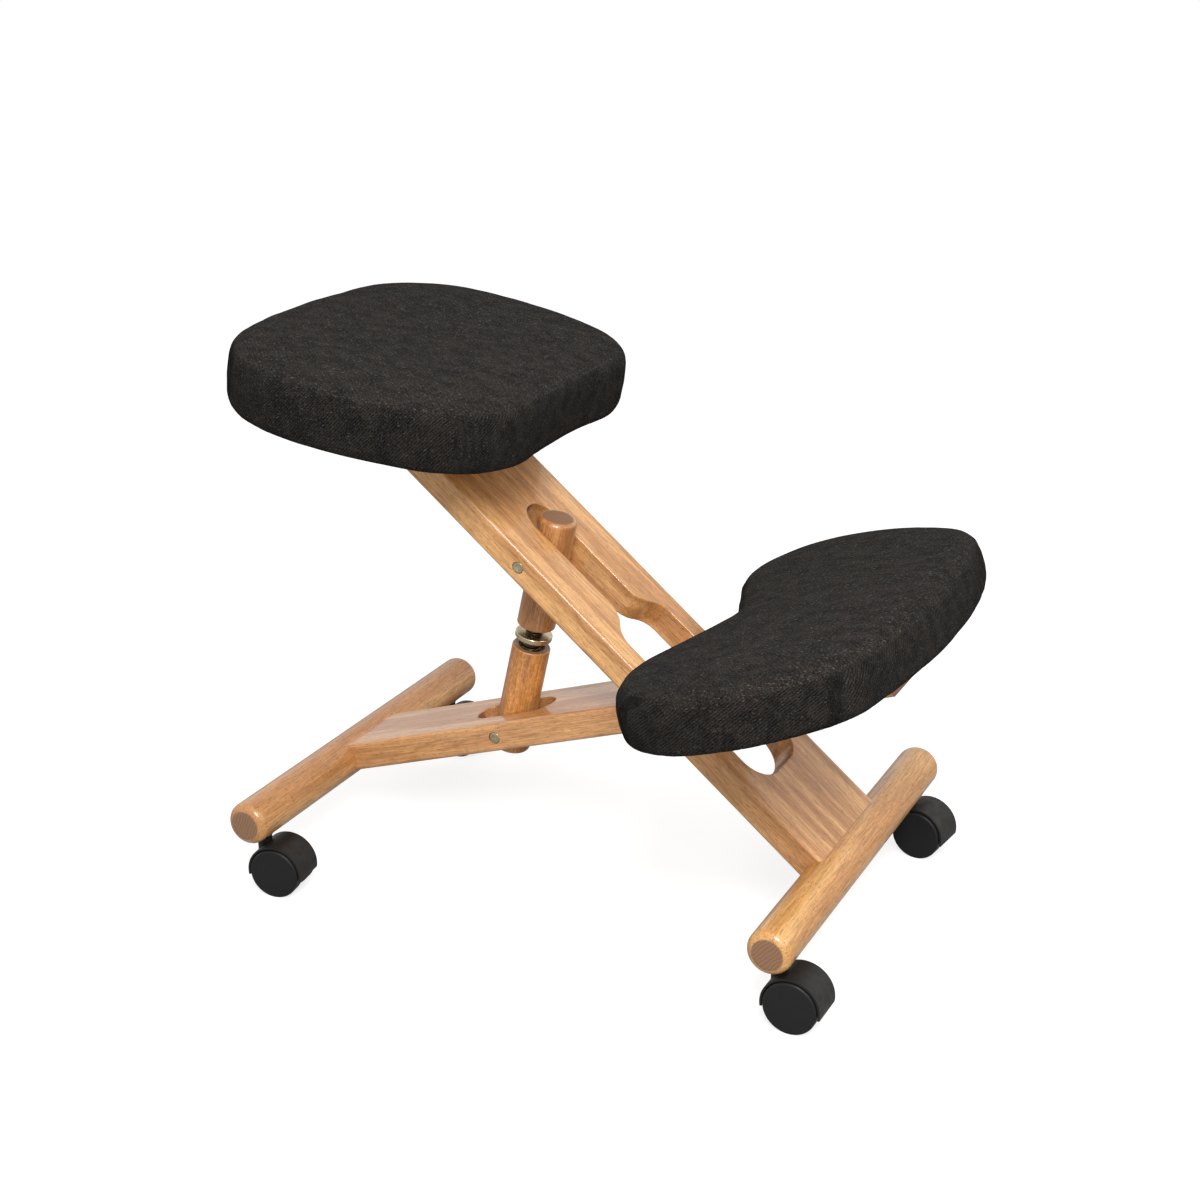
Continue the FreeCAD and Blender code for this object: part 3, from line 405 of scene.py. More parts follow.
def add_flecks(g: Graph, fleck: Fleck, bent: Any, colour: Any, side_share: Any) -> bpy.types.NodeSocket:
    """Lay one size of fleck over the cloth's colour.

    Args:
        g: The graph to add to.
        fleck: The fleck's sizes.
        bent: The position, bent a little so that fibres are not straight.
        colour: The cloth's colour so far.
        side_share: How far this place is on the side of the pad.

    Returns:
        The new colour's socket.
    """
    scaled = g.vector("MULTIPLY", bent, fleck.stretch)
    scale = 1000.0 / fleck.size
    cell = g.add("ShaderNodeTexVoronoi", {"Vector": scaled, "Scale": scale, "Randomness": 1.0})
    pick, hue, extra = g.split(cell.outputs["Color"])
    near = g.ramp(cell.outputs["Distance"], 0.20, 0.42, 1.0, 0.0)
    chosen = g.ramp(pick, fleck.share, fleck.share + 0.04)
    loss = g.math("MULTIPLY", side_share, fleck.strength * SIDE_FLECK_LOSS)
    strength = g.math("SUBTRACT", fleck.strength, loss)
    varied = g.math("MULTIPLY", strength, g.ramp(extra, 0.0, 1.0, 0.35, 1.0))
    amount = g.math("MULTIPLY", g.math("MULTIPLY", near, chosen), varied)
    return g.mix(amount, colour, fleck_tint(g, hue))


def tweed_group() -> bpy.types.NodeTree:
    """Make the wool twill: dark yarn, diagonal ribs, sparse coloured flecks and painted shade on the sides of the
    pad.

    Args:
        None.

    Returns:
        The node group, for positions and normals in the object's own frame.
    """
    inputs = (("Position", "Vector"), ("Normal", "Vector"))
    outputs = (("Color", "Color"), ("Height", "Float"))
    tree, g, start, end = new_group("wool_twill", inputs, outputs)
    where = start.outputs["Position"]
    x, y, z = g.split(where)
    nx, ny, nz = g.split(g.vector("ABSOLUTE", start.outputs["Normal"]))
    wobble = g.math("MULTIPLY", g.noise(g.vector("MULTIPLY", where, (30.0, 30.0, 30.0)), 1.0), 0.004)
    on_top = g.ramp(nz, 0.55, 0.85)
    on_end = g.ramp(g.math("SUBTRACT", nx, ny), -0.15, 0.15)
    run = g.math("ADD", g.math("MULTIPLY", x, g.math("SUBTRACT", 1.0, on_end)), g.math("MULTIPLY", y, on_end))
    side_phase = g.math("ADD", g.math("SUBTRACT", run, z), wobble)
    top_phase = g.math("ADD", g.math("ADD", x, y), wobble)
    period = 2.0 * math.pi / RIB_PITCH
    side_rib = g.math("SINE", g.math("MULTIPLY", side_phase, period))
    top_rib = g.math("SINE", g.math("MULTIPLY", top_phase, period * 0.72))
    side_share = g.math("SUBTRACT", 1.0, on_top)
    rib = g.math("ADD", g.math("MULTIPLY", side_rib, side_share), g.math("MULTIPLY", top_rib, on_top))
    yarn = g.noise(g.vector("MULTIPLY", where, (700.0, 1500.0, 900.0)), 2.0, 0.4)
    cloud = g.noise(g.vector("MULTIPLY", where, (55.0, 75.0, 60.0)), 3.0)
    heather = g.mix(g.ramp(cloud, 0.35, 0.65), HEATHER_DARK, HEATHER_LIGHT)
    rib_depth = g.math("ADD", RIB_ON_TOP, g.math("MULTIPLY", side_share, RIB_MORE_ON_SIDE))
    lift = g.math("ADD", g.ramp(yarn, 0.3, 0.72, 0.45, 1.75), g.math("MULTIPLY", rib, rib_depth))
    # Painted shade: the yarn's brightness is lowered on the sides of the pad.
    lift = g.math("MULTIPLY", lift, g.math("SUBTRACT", 1.0, g.math("MULTIPLY", side_share, PAINTED_SIDE_SHADE)))
    colour = g.mix(1.0, heather, g.join(lift, lift, lift), "MULTIPLY")
    bend = g.add("ShaderNodeTexNoise", {"Vector": where, "Scale": 260.0}).outputs[1]
    bent = g.vector("ADD", where, g.vector("MULTIPLY", bend, FIBRE_BEND))
    for fleck in FLECKS:
        colour = add_flecks(g, fleck, bent, colour, side_share)
    height = g.math("ADD", g.math("MULTIPLY", rib, 0.5), yarn)
    g.feed(end.inputs["Color"], colour)
    g.feed(end.inputs["Height"], height)
    return tree


def fine_group() -> bpy.types.NodeTree:
    """Make a fine even texture for plastic and plated steel.

    Args:
        None.

    Returns:
        The node group.
    """
    inputs = (("Position", "Vector"), ("Color", "Color"), ("Second", "Color"), ("Size", "Float"))
    outputs = (("Color", "Color"), ("Height", "Float"), ("Wear", "Float"))
    tree, g, start, end = new_group("fine_texture", inputs, outputs)
    size = start.outputs["Size"]
    inputs = {0: start.outputs["Position"], "Scale": g.math("DIVIDE", 1.0, size)}
    grit = g.noise(g.add("ShaderNodeVectorMath", inputs, operation="SCALE").outputs[0], 2.0)
    patches = g.noise(g.vector("MULTIPLY", start.outputs["Position"], (140.0, 140.0, 140.0)), 3.0)
    g.feed(end.inputs["Color"], g.mix(g.ramp(patches, 0.32, 0.68), start.outputs["Color"], start.outputs["Second"]))
    g.feed(end.inputs["Height"], grit)
    g.feed(end.inputs["Wear"], g.ramp(patches, 0.3, 0.7))
    return tree


@dataclass(frozen=True)
class Finish:
    """Base of every finish: one material on the object's own coordinates."""

    name: str

    def begin(self) -> Tuple[bpy.types.Material, Graph, bpy.types.Node, bpy.types.Node]:
        """Start the material.

        Args:
            None.

        Returns:
            The material, its graph, its surface node and its coordinate node.
        """
        material = bpy.data.materials.new(self.name)
        material.use_nodes = True
        material.node_tree.nodes.clear()
        graph = Graph(material.node_tree)
        output = graph.add("ShaderNodeOutputMaterial")
        surface = graph.add("ShaderNodeBsdfPrincipled")
        graph.feed(output.inputs["Surface"], surface.outputs[0])
        return material, graph, surface, graph.add("ShaderNodeTexCoord")

    def bump(self, graph: Graph, height: Any, depth: float, strength: float) -> bpy.types.NodeSocket:
        """Raise the surface by a height value.

        Args:
            graph: The material's graph.
            height: The height's socket.
            depth: Height of a value of one, in metres.
            strength: Share of the effect.

        Returns:
            The bumped normal's socket.
        """
        return graph.add("ShaderNodeBump", {"Height": height, "Distance": depth, "Strength": strength}).outputs[0]


@dataclass(frozen=True)
class Wood(Finish):
    """Satin lacquer over pale hardwood."""

    grain: Grain
    light: Colour = (0.610, 0.310, 0.120)
    dark: Colour = (0.450, 0.200, 0.068)
    mottle: float = 0.05
    seed: float = 0.0
    shows_end: bool = False

    def material(self) -> bpy.types.Material:
        """Make the material.

        Args:
            None.

        Returns:
            The material.
        """
        material, g, surface, coords = self.begin()
        place = (self.seed, self.seed * 0.37, self.seed * 0.19)
        inputs = {"Vector": coords.outputs["Object"], "Rotation": self.grain.turn(), "Location": place}
        local = g.add("ShaderNodeMapping", inputs).outputs[0]
        figure = g.add("ShaderNodeGroup", node_tree=bpy.data.node_groups["wood_figure"])
        g.feed(figure.inputs["Position"], local)
        g.feed(figure.inputs["Light"], (*self.light, 1.0))
        g.feed(figure.inputs["Dark"], (*self.dark, 1.0))
        g.feed(figure.inputs["Mottle"], self.mottle)
        colour, height = figure.outputs["Color"], figure.outputs["Height"]
        rough = g.ramp(figure.outputs["Gloss"], 0.0, 1.0, 0.34, 0.46)
        if self.shows_end:
            inputs = {"Vector": coords.outputs["Normal"], "Rotation": self.grain.turn()}
            turned = g.add("ShaderNodeMapping", inputs, vector_type="NORMAL")
            ahead = g.math("ABSOLUTE", g.split(turned.outputs[0])[0])
            mask = g.ramp(ahead, 0.93, 0.985)
            cut = g.add("ShaderNodeGroup", node_tree=bpy.data.node_groups["wood_end"])
            g.feed(cut.inputs["Position"], local)
            colour = g.mix(mask, colour, cut.outputs["Color"])
            edge = g.math("MULTIPLY", cut.outputs["Height"], mask)
            height = g.math("ADD", height, edge)
            rough = g.math("ADD", rough, g.math("MULTIPLY", mask, 0.22), clamp=True)
        g.feed(surface.inputs["Base Color"], colour)
        g.feed(surface.inputs["Roughness"], rough)
        surface.inputs["Specular IOR Level"].default_value = 0.5
        surface.inputs["Coat Weight"].default_value = 0.5
        surface.inputs["Coat Roughness"].default_value = 0.10
        g.feed(surface.inputs["Normal"], self.bump(g, height, 0.00012, 0.55))
        return material


@dataclass(frozen=True)
class Plywood(Finish):
    """Raw plywood of the boards under the pads."""

    pitch: float = 0.0

    def material(self) -> bpy.types.Material:
        """Make the material.

        Args:
            None.

        Returns:
            The material.
        """
        material, g, surface, coords = self.begin()
        turn = (0.0, self.pitch, 0.0)
        local = g.add("ShaderNodeMapping", {"Vector": coords.outputs["Object"], "Rotation": turn}).outputs[0]
        figure = g.add("ShaderNodeGroup", node_tree=bpy.data.node_groups["wood_figure"])
        g.feed(figure.inputs["Position"], local)
        g.feed(figure.inputs["Light"], (0.60, 0.43, 0.26, 1.0))
        g.feed(figure.inputs["Dark"], (0.47, 0.31, 0.17, 1.0))
        g.feed(figure.inputs["Mottle"], 0.05)
        level = g.split(local)[2]
        plies = g.math("SINE", g.math("MULTIPLY", level, 2.0 * math.pi / (4.0 * MM)))
        inputs = {"Vector": coords.outputs["Normal"], "Rotation": turn}
        turned = g.add("ShaderNodeMapping", inputs, vector_type="NORMAL")
        side = g.ramp(g.math("ABSOLUTE", g.split(turned.outputs[0])[2]), 0.3, 0.8, 1.0, 0.0)
        amount = g.math("MULTIPLY", g.ramp(plies, -0.2, 0.2), g.math("MULTIPLY", side, 0.6))
        g.feed(surface.inputs["Base Color"], g.mix(amount, figure.outputs["Color"], (0.27, 0.17, 0.10)))
        surface.inputs["Roughness"].default_value = 0.78
        g.feed(surface.inputs["Normal"], self.bump(g, figure.outputs["Height"], 0.0002, 0.6))
        return material


@dataclass(frozen=True)
class Tweed(Finish):
    """Charcoal wool twill with fine coloured flecks and painted shade on the pad's sides."""

    def material(self) -> bpy.types.Material:
        """Make the material.

        Args:
            None.

        Returns:
            The material.
        """
        material, g, surface, coords = self.begin()
        cloth = g.add("ShaderNodeGroup", node_tree=bpy.data.node_groups["wool_twill"])
        g.feed(cloth.inputs["Position"], coords.outputs["Object"])
        g.feed(cloth.inputs["Normal"], coords.outputs["Normal"])
        g.feed(surface.inputs["Base Color"], cloth.outputs["Color"])
        surface.inputs["Roughness"].default_value = 0.94
        surface.inputs["Specular IOR Level"].default_value = 0.0
        surface.inputs["Sheen Weight"].default_value = 0.015
        surface.inputs["Sheen Roughness"].default_value = 0.6
        g.feed(surface.inputs["Normal"], self.bump(g, cloth.outputs["Height"], 0.0005, 0.7))
        return material


@dataclass(frozen=True)
class Smooth(Finish):
    """Moulded plastic or plated steel with a fine texture."""

    colour: Colour
    second: Colour
    roughness: float
    metallic: float = 0.0
    size: float = 0.0004
    depth: float = 0.00003
    specular: float = 0.5
    wear: float = 0.06
    thread: Tuple[float, ...] = field(default=())

    def material(self) -> bpy.types.Material:
        """Make the material.

        Args:
            None.

        Returns:
            The material.
        """
        material, g, surface, coords = self.begin()
        fine = g.add("ShaderNodeGroup", node_tree=bpy.data.node_groups["fine_texture"])
        g.feed(fine.inputs["Position"], coords.outputs["Object"])
        g.feed(fine.inputs["Color"], (*self.colour, 1.0))
        g.feed(fine.inputs["Second"], (*self.second, 1.0))
        g.feed(fine.inputs["Size"], self.size)
        g.feed(surface.inputs["Base Color"], fine.outputs["Color"])
        smoothest, roughest = self.roughness - self.wear, self.roughness + self.wear
        g.feed(surface.inputs["Roughness"], g.ramp(fine.outputs["Wear"], 0.0, 1.0, smoothest, roughest))
        surface.inputs["Metallic"].default_value = self.metallic
        surface.inputs["Specular IOR Level"].default_value = self.specular
        normal = self.bump(g, fine.outputs["Height"], self.depth, 0.6)
        if self.thread:
            x, y, z, pitch = self.thread
            moved = g.vector("SUBTRACT", coords.outputs["Object"], (x, y, z))
            local = g.add("ShaderNodeMapping", {"Vector": moved, "Rotation": Grain.POST.turn()}).outputs[0]
            along, side, rise = g.split(local)
            angle = g.math("DIVIDE", g.math("ARCTAN2", side, rise), 2.0 * math.pi)
            turns = g.math("ADD", g.math("DIVIDE", along, pitch), angle)
            wave = g.math("SINE", g.math("MULTIPLY", turns, 2.0 * math.pi))
            node = g.add("ShaderNodeBump", {"Height": wave, "Distance": 0.0009, "Strength": 1.0, "Normal": normal})
            normal = node.outputs[0]
        g.feed(surface.inputs["Normal"], normal)
        return material


def deselect() -> None:
    """Leave nothing selected.

    Args:
        None.

    Returns:
        None.
    """
    if bpy.context.object and bpy.context.object.mode != "OBJECT":
        bpy.ops.object.mode_set(mode="OBJECT")
    bpy.ops.object.select_all(action="DESELECT")


def activate(piece: bpy.types.Object) -> None:
    """Select one piece alone.

    Args:
        piece: The piece.

    Returns:
        None.
    """
    deselect()
    piece.select_set(True)
    bpy.context.view_layer.objects.active = piece


def apply_modifier(piece: bpy.types.Object, kind: str, **settings: Any) -> None:
    """Add a modifier and apply it.

    Args:
        piece: The piece.
        kind: The modifier's type.
        **settings: Its properties.

    Returns:
        None.
    """
    activate(piece)
    modifier = piece.modifiers.new(kind.lower(), kind)
    for key, value in settings.items():
        setattr(modifier, key, value)
    bpy.ops.object.modifier_apply(modifier=modifier.name)


def dress(node: bpy.types.Object, material: bpy.types.Material) -> None:
    """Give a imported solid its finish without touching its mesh.

    Args:
        node: The solid.
        material: Its finish.

    Returns:
        None.
    """
    for slot in node.material_slots:
        slot.link = "OBJECT"
        slot.material = material


COVER = {
    "quality": 5,
    "mass": 0.3,
    "tension_stiffness": 30.0,
    "compression_stiffness": 30.0,
    "shear_stiffness": 12.0,
    "bending_stiffness": 4.0,
    "use_pressure": True,
    "uniform_pressure_force": 4.0,
    "vertex_group_mass": "held",
}


@dataclass
class Cushion:
    """One padded wool cushion, puffed by a short pressure simulation."""

    node: str
    body: str
    pitch: float
    voxel: float = 0.005
    shrink: float = 0.0008
    most: float = 0.0030
    frames: int = 20
    edge_height: float = 0.0045
    foam_gap: float = 0.0010
    wander: float = 0.0011
    give_on_top: float = 0.35
    finish: Tweed = Tweed("wool_twill_cover")

    def copy_solid(self, frame: Dict[str, Any]) -> bpy.types.Object:
        """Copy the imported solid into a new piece.

        Args:
            frame: The loaded frame.

        Returns:
            The new piece.
        """
        solid = frame["nodes"][self.node]
        piece = bpy.data.objects.new(self.node.replace("cushion", "pad"), solid.data.copy())
        bpy.context.scene.collection.objects.link(piece)
        activate(piece)
        bpy.ops.object.mode_set(mode="EDIT")
        bpy.ops.mesh.select_all(action="SELECT")
        bpy.ops.mesh.remove_doubles(threshold=0.00002)
        bpy.ops.mesh.normals_make_consistent(inside=False)
        bpy.ops.mesh.customdata_custom_splitnormals_clear()
        bpy.ops.object.mode_set(mode="OBJECT")
        apply_modifier(piece, "REMESH", mode="VOXEL", voxel_size=self.voxel)
        apply_modifier(piece, "SMOOTH", factor=0.5, iterations=3)
        return piece

    def underside(self, piece: bpy.types.Object) -> List[int]:
        """Find the points on the flat underside.

        Args:
            piece: The cushion.

        Returns:
            Their numbers.
        """
        across = Vector((math.sin(self.pitch), 0.0, math.cos(self.pitch)))
        levels = [across.dot(v.co) for v in piece.data.vertices]
        low = min(levels)
        points = piece.data.vertices
        near = [i for i, level in enumerate(levels) if level < low + self.edge_height]
        return [i for i in near if across.dot(points[i].normal) < 0.3]

    def puff(self, piece: bpy.types.Object) -> None:
        """Swell the cover under pressure and cap how far it moves.

        Args:
            piece: The cushion.

        Returns:
            None.
        """
        held = self.underside(piece)
        group = piece.vertex_groups.new(name="held")
        group.add(held, 1.0, "REPLACE")
        firm = set(held)
        for index, vertex in enumerate(piece.data.vertices):
            if index not in firm:
                vertex.co -= vertex.normal * self.shrink
        start = [vertex.co.copy() for vertex in piece.data.vertices]
        outward = [vertex.normal.copy() for vertex in piece.data.vertices]
        activate(piece)
        cloth = piece.modifiers.new("cloth", "CLOTH")
        for key, value in COVER.items():
            setattr(cloth.settings, key, value)
        cloth.settings.effector_weights.gravity = 0.0
        cloth.collision_settings.use_collision = False
        cloth.point_cache.frame_start = 1
        cloth.point_cache.frame_end = self.frames
        for number in range(1, self.frames + 1):
            bpy.context.scene.frame_set(number)
            bpy.context.view_layer.update()
        bpy.ops.object.modifier_apply(modifier=cloth.name)
        bpy.context.scene.frame_set(1)
        for index, vertex in enumerate(piece.data.vertices):
            swell = (vertex.co - start[index]).dot(outward[index])
            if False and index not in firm:
                swell = self.most * 0.8
            vertex.co = start[index] + outward[index] * min(max(swell, 0.0), self.most)

    def pull(self, piece: bpy.types.Object) -> None:
        """Weigh how firmly each point of the cover sits on the foam: fully at the rim, less on top.

        Args:
            piece: The cushion.

        Returns:
            None.
        """
        across = Vector((math.sin(self.pitch), 0.0, math.cos(self.pitch)))
        levels = [across.dot(v.co) for v in piece.data.vertices]
        low, high = min(levels), max(levels)
        group = piece.vertex_groups.new(name="foam")
        for index, level in enumerate(levels):
            share = (level - low) / (high - low)
            group.add([index], 1.0 - self.give_on_top * max(0.0, share - 0.5) * 2.0, "REPLACE")

    def soften(self, piece: bpy.types.Object, solid: bpy.types.Object) -> None:
        """Round the cover off, seat it on the foam and let it wander a little, as stretched cloth does.

        Args:
            piece: The cushion.
            solid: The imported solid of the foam.

        Returns:
            None.
        """
        apply_modifier(piece, "SMOOTH", factor=0.5, iterations=2)
        wander = bpy.data.textures.new(piece.name + "_wander", "CLOUDS")
        wander.noise_scale = 0.045
        wander.noise_depth = 1
        apply_modifier(piece, "SUBSURF", levels=1, render_levels=1)
        self.pull(piece)
        wrap = {"target": solid, "wrap_mode": "ABOVE_SURFACE", "offset": self.foam_gap, "vertex_group": "foam"}
        apply_modifier(piece, "SHRINKWRAP", **wrap)
        apply_modifier(piece, "SMOOTH", factor=0.5, iterations=2)
        apply_modifier(piece, "DISPLACE", texture=wander, texture_coords="LOCAL", strength=self.wander, mid_level=0.5)
        activate(piece)
        bpy.ops.object.shade_smooth()

    def build(self, frame: Dict[str, Any]) -> None:
        """Make, dress and attach the cushion.

        Args:
            frame: The loaded frame.

        Returns:
            None.
        """
        piece = self.copy_solid(frame)
        self.puff(piece)
        self.soften(piece, frame["nodes"][self.node])
        piece.data.materials.clear()
        piece.data.materials.append(cover_of(self.finish))
        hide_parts(self.node)
        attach(piece, self.body)
        LOG.info("built %s on %s", piece.name, self.body)


def cover_of(finish: Tweed) -> bpy.types.Material:
    """Give the cover's material, made once.

    Args:
        finish: The finish.

    Returns:
        The material.
    """
    return bpy.data.materials.get(finish.name) or finish.material()


@dataclass
class Dressing:
    """Finishes of one sub-assembly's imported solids."""

    title: str
    finishes: Dict[str, Finish]

    def build(self, frame: Dict[str, Any]) -> None:
        """Dress each solid.

        Args:
            frame: The loaded frame.

        Returns:
            None.
        """
        made: Dict[str, bpy.types.Material] = {}
        for node, finish in self.finishes.items():
            if finish.name not in made:
                made[finish.name] = bpy.data.materials.get(finish.name) or finish.material()
            dress(frame["nodes"][node], made[finish.name])
            LOG.info("dressed %s of the %s", node, self.title)


PLATED = Smooth("zinc_plate", (0.62, 0.61, 0.58), (0.50, 0.49, 0.46), 0.36, 1.0)
BOLT = Smooth("yellow_zinc_bolt", (0.60, 0.56, 0.42), (0.48, 0.42, 0.28), 0.30, 1.0)
RING = Smooth("yellow_zinc_ring", (0.62, 0.52, 0.34), (0.52, 0.39, 0.26), 0.28, 1.0, depth=0.00002)
NYLON = Smooth("pale_nylon", (0.74, 0.72, 0.65), (0.68, 0.66, 0.59), 0.5)
HOOD = Smooth(
    "hood_plastic", (0.0120, 0.0112, 0.0098), (0.0100, 0.0092, 0.0082),
    0.50, specular=0.32, size=0.00045, depth=0.00006
)
WHEEL = Smooth(
    "wheel_plastic", (0.0105, 0.0105, 0.0112), (0.0092, 0.0093, 0.0100),
    0.44, specular=0.26, size=0.0006, depth=0.00002
)


def rear_frame() -> Dressing:
    """List the finishes of the rear frame.

    Args:
        None.

    Returns:
        The dressing.
    """
    bar = Wood("wood_rear_bar", Grain.CROSSBAR, (0.640, 0.335, 0.120), (0.470, 0.210, 0.066), 0.06, 0.31, True)
    return Dressing("rear frame", {
        "rear_beam": Wood(
            "wood_rear_beam", Grain.REAR_BEAM, (0.660, 0.340, 0.138), (0.480, 0.215, 0.078), 0.04, 0.87, True
        ),
        "rear_crossbar": bar,
        "knee_wedge": Wood("wood_knee_wedge", Grain.REAR_BEAM, seed=1.3),
        "knee_board": Plywood("plywood_knee", pitch=-KNEE_PITCH),
        "rear_bar_bolts": BOLT,
        "rear_barrel_nuts": PLATED,
        "rear_caster_sleeves": PLATED,
        "fold_bush": NYLON,
        "fold_washers": NYLON,
        "knee_bolts": BOLT,
        "knee_tee_nuts": PLATED,
    })


def main_frame() -> Dressing:
    """List the finishes of the main frame.

    Args:
        None.

    Returns:
        The dressing.
    """
    bar = Wood("wood_front_bar", Grain.CROSSBAR, (0.720, 0.385, 0.130), (0.550, 0.250, 0.072), 0.06, 2.13, True)
    return Dressing("main frame", {
        "main_beam": Wood(
            "wood_main_beam", Grain.MAIN_BEAM, (0.760, 0.410, 0.158), (0.500, 0.225, 0.072), 0.045, 0.0, True
        ),
        "front_crossbar": bar,
        "seat_wedge": Wood("wood_seat_wedge", Grain.MAIN_BEAM, seed=2.9),
        "seat_board": Plywood("plywood_seat", pitch=-SEAT_PITCH),
        "front_bar_bolts": BOLT,
        "front_barrel_nuts": PLATED,
        "front_caster_sleeves": PLATED,
        "seat_bolts": BOLT,
        "seat_tee_nuts": PLATED,
        "upper_pivot_bolt": BOLT,
        "upper_pivot_nut": BOLT,
        "fold_bolt": BOLT,
        "fold_nut": BOLT,
    })


def height_adjuster() -> Dressing:
    """List the finishes of the posts, the screw and its ring.

    Args:
        None.

    Returns:
        The dressing.
    """
    low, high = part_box("adjuster_ring")
    middle = (Vector(low) + Vector(high)) / 2
    screw = Smooth("oiled_screw", (0.150, 0.128, 0.085), (0.100, 0.084, 0.058), 0.34, 1.0, thread=(*middle, 4.0 * MM))
    return Dressing("height adjuster", {
        "upper_post": Wood(
            "wood_upper_post", Grain.POST, (0.600, 0.285, 0.096), (0.400, 0.160, 0.046), 0.07, 3.7, True
        ),
        "lower_post": Wood(
            "wood_lower_post", Grain.POST, (0.640, 0.280, 0.074), (0.430, 0.158, 0.038), 0.17, 4.4, True
        ),
        "post_bush": NYLON,
        "post_nut": PLATED,
        "adjuster_screw": screw,
        "adjuster_ring": RING,
        "lower_pivot_bolt": BOLT,
        "lower_pivot_nut": BOLT,
    })


def castors() -> Dressing:
    """List the finishes of the four castors.

    Args:
        None.

    Returns:
        The dressing.
    """
    finishes: Dict[str, Finish] = {}
    for corner in CORNERS:
        finishes["caster_stem_" + corner] = PLATED
        finishes["caster_axle_" + corner] = PLATED
        finishes["caster_hood_" + corner] = HOOD
        finishes["caster_wheel_" + corner + "_outer"] = WHEEL
        finishes["caster_wheel_" + corner + "_inner"] = WHEEL
    return Dressing("castors", finishes)


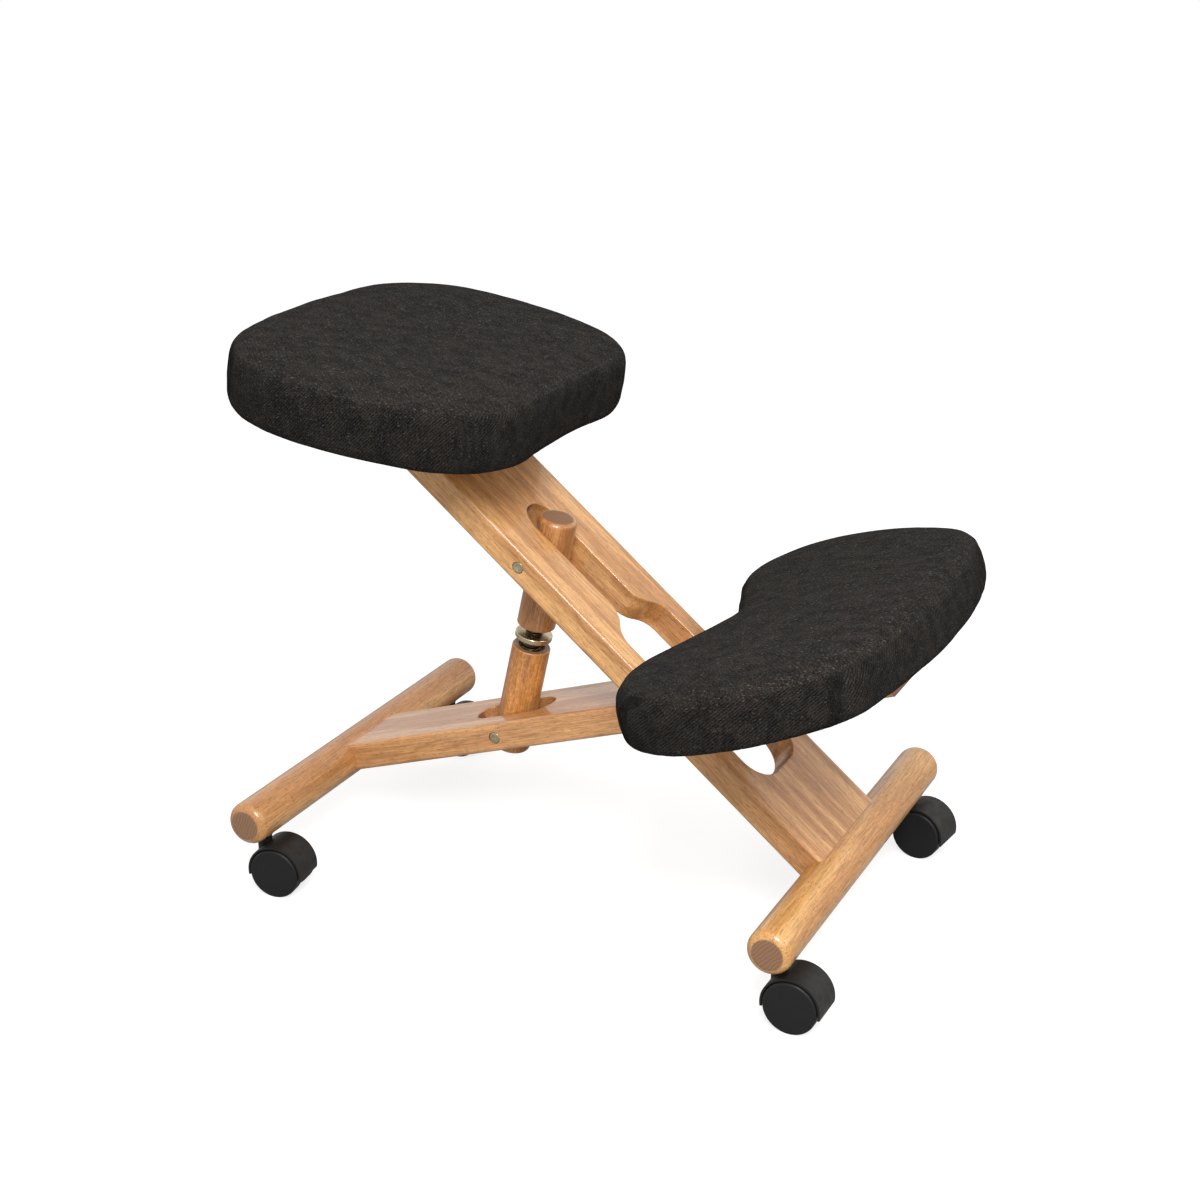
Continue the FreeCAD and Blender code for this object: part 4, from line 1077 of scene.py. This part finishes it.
@dataclass
class Studio:
    """Camera, lights, floor and white surroundings."""

    azimuth: float = math.radians(26.593)
    elevation: float = math.radians(21.038)
    roll: float = math.radians(-0.304)
    place: Point = (1.061947, -1.568085, 0.959344)
    lens: float = 59.711

    def axes(self) -> Tuple[Vector, Vector, Vector]:
        """Give the camera's axes.

        Args:
            None.

        Returns:
            Its right, up and backward directions.
        """
        a, e, r = self.azimuth, self.elevation, self.roll
        back = Vector((math.sin(a) * math.cos(e), -math.cos(a) * math.cos(e), math.sin(e)))
        right = Vector((math.cos(a), math.sin(a), 0.0))
        up = back.cross(right)
        return right * math.cos(r) + up * math.sin(r), up * math.cos(r) - right * math.sin(r), back

    def camera(self) -> None:
        """Place the camera where the photograph was taken, seen from the rear crossbar.

        Args:
            None.

        Returns:
            None.
        """
        low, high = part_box("rear_crossbar")
        origin = (low[0] + high[0]) / 2
        deselect()
        bpy.ops.object.camera_add(location=(0.0, 0.0, 0.0))
        eye = bpy.context.object
        eye.name = "photo_camera"
        right, up, back = self.axes()
        turn = Matrix((right, up, back)).transposed().to_4x4()
        eye.matrix_world = Matrix.Translation(Vector(self.place) + Vector((origin, 0.0, 0.0))) @ turn
        eye.data.lens = self.lens
        eye.data.sensor_width = 36.0
        eye.data.clip_start = 0.05
        bpy.context.scene.camera = eye

    def softbox(self, name: str, azimuth: float, height: float, distance: float, size: float, power: float) -> None:
        """Hang one square light aimed at the chair.

        Args:
            name: Its name.
            azimuth: Degrees to the right of the camera.
            height: Degrees above the horizon.
            distance: Metres from the chair.
            size: Side in metres.
            power: Watts.

        Returns:
            None.
        """
        a = self.azimuth + math.radians(azimuth)
        h = math.radians(height)
        away = Vector((math.sin(a) * math.cos(h), -math.cos(a) * math.cos(h), math.sin(h)))
        deselect()
        bpy.ops.object.light_add(type="AREA", location=Vector((0.0, 0.0, 0.25)) + away * distance)
        light = bpy.context.object
        light.name = name
        light.rotation_euler = away.to_track_quat("Z", "Y").to_euler()
        light.data.size = size
        light.data.energy = power

    def surroundings(self) -> None:
        """Make the surroundings plain white.

        Args:
            None.

        Returns:
            None.
        """
        world = bpy.data.worlds.new("white_room")
        bpy.context.scene.world = world
        world.use_nodes = True
        world.node_tree.nodes.clear()
        g = Graph(world.node_tree)
        path = g.add("ShaderNodeLightPath")
        seen = g.add("ShaderNodeBackground", {"Color": (1.0, 1.0, 1.0, 1.0), "Strength": 1.0})
        felt = g.add("ShaderNodeBackground", {"Color": (1.0, 1.0, 1.0, 1.0), "Strength": 0.58})
        is_seen = g.math("MAXIMUM", path.outputs["Is Camera Ray"], path.outputs["Is Glossy Ray"])
        both = g.add("ShaderNodeMixShader", {0: is_seen, 1: felt.outputs[0], 2: seen.outputs[0]})
        g.add("ShaderNodeOutputWorld", {"Surface": both.outputs[0]})

    def floor(self) -> None:
        """Lay a plain white floor.

        Args:
            None.

        Returns:
            None.
        """
        deselect()
        bpy.ops.mesh.primitive_plane_add(size=12.0, location=(0.0, 0.0, 0.0))
        plane = bpy.context.object
        plane.name = "studio_floor"
        material = bpy.data.materials.new("studio_white")
        material.use_nodes = True
        surface = material.node_tree.nodes["Principled BSDF"]
        surface.inputs["Base Color"].default_value = (0.42, 0.42, 0.42, 1.0)
        surface.inputs["Roughness"].default_value = 1.0
        surface.inputs["Specular IOR Level"].default_value = 0.0
        surface.inputs["Emission Color"].default_value = (1.0, 1.0, 1.0, 1.0)
        g = Graph(material.node_tree)
        seen = g.add("ShaderNodeLightPath").outputs["Is Camera Ray"]
        g.feed(surface.inputs["Emission Strength"], g.math("MULTIPLY", seen, 0.76))
        plane.data.materials.append(material)

    def build(self) -> None:
        """Set up the whole studio.

        Args:
            None.

        Returns:
            None.
        """
        self.camera()
        self.softbox("softbox_front", 4.0, 42.0, 2.6, 0.9, 58.0)
        self.softbox("softbox_right", 70.0, 34.0, 2.6, 0.7, 8.0)
        self.softbox("softbox_top", 20.0, 80.0, 2.4, 1.6, 7.0)
        self.surroundings()
        self.floor()
        bpy.context.scene.view_settings.view_transform = "Standard"
        LOG.info("studio ready")


def main() -> None:
    """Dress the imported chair, make its cushions and set up the studio.

    Args:
        None.

    Returns:
        None.
    """
    logging.basicConfig(level=logging.INFO, format="%(name)s: %(message)s")
    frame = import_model()
    for make in (wood_group, end_grain_group, tweed_group, fine_group):
        LOG.info("node group %s", make().name)
    for assembly in (rear_frame(), main_frame(), height_adjuster(), castors()):
        assembly.build(frame)
    Cushion("seat_cushion", "main_frame", SEAT_PITCH).build(frame)
    Cushion("knee_cushion", "rear_frame", KNEE_PITCH).build(frame)
    Studio().build()


if __name__ == "__main__":
    main()
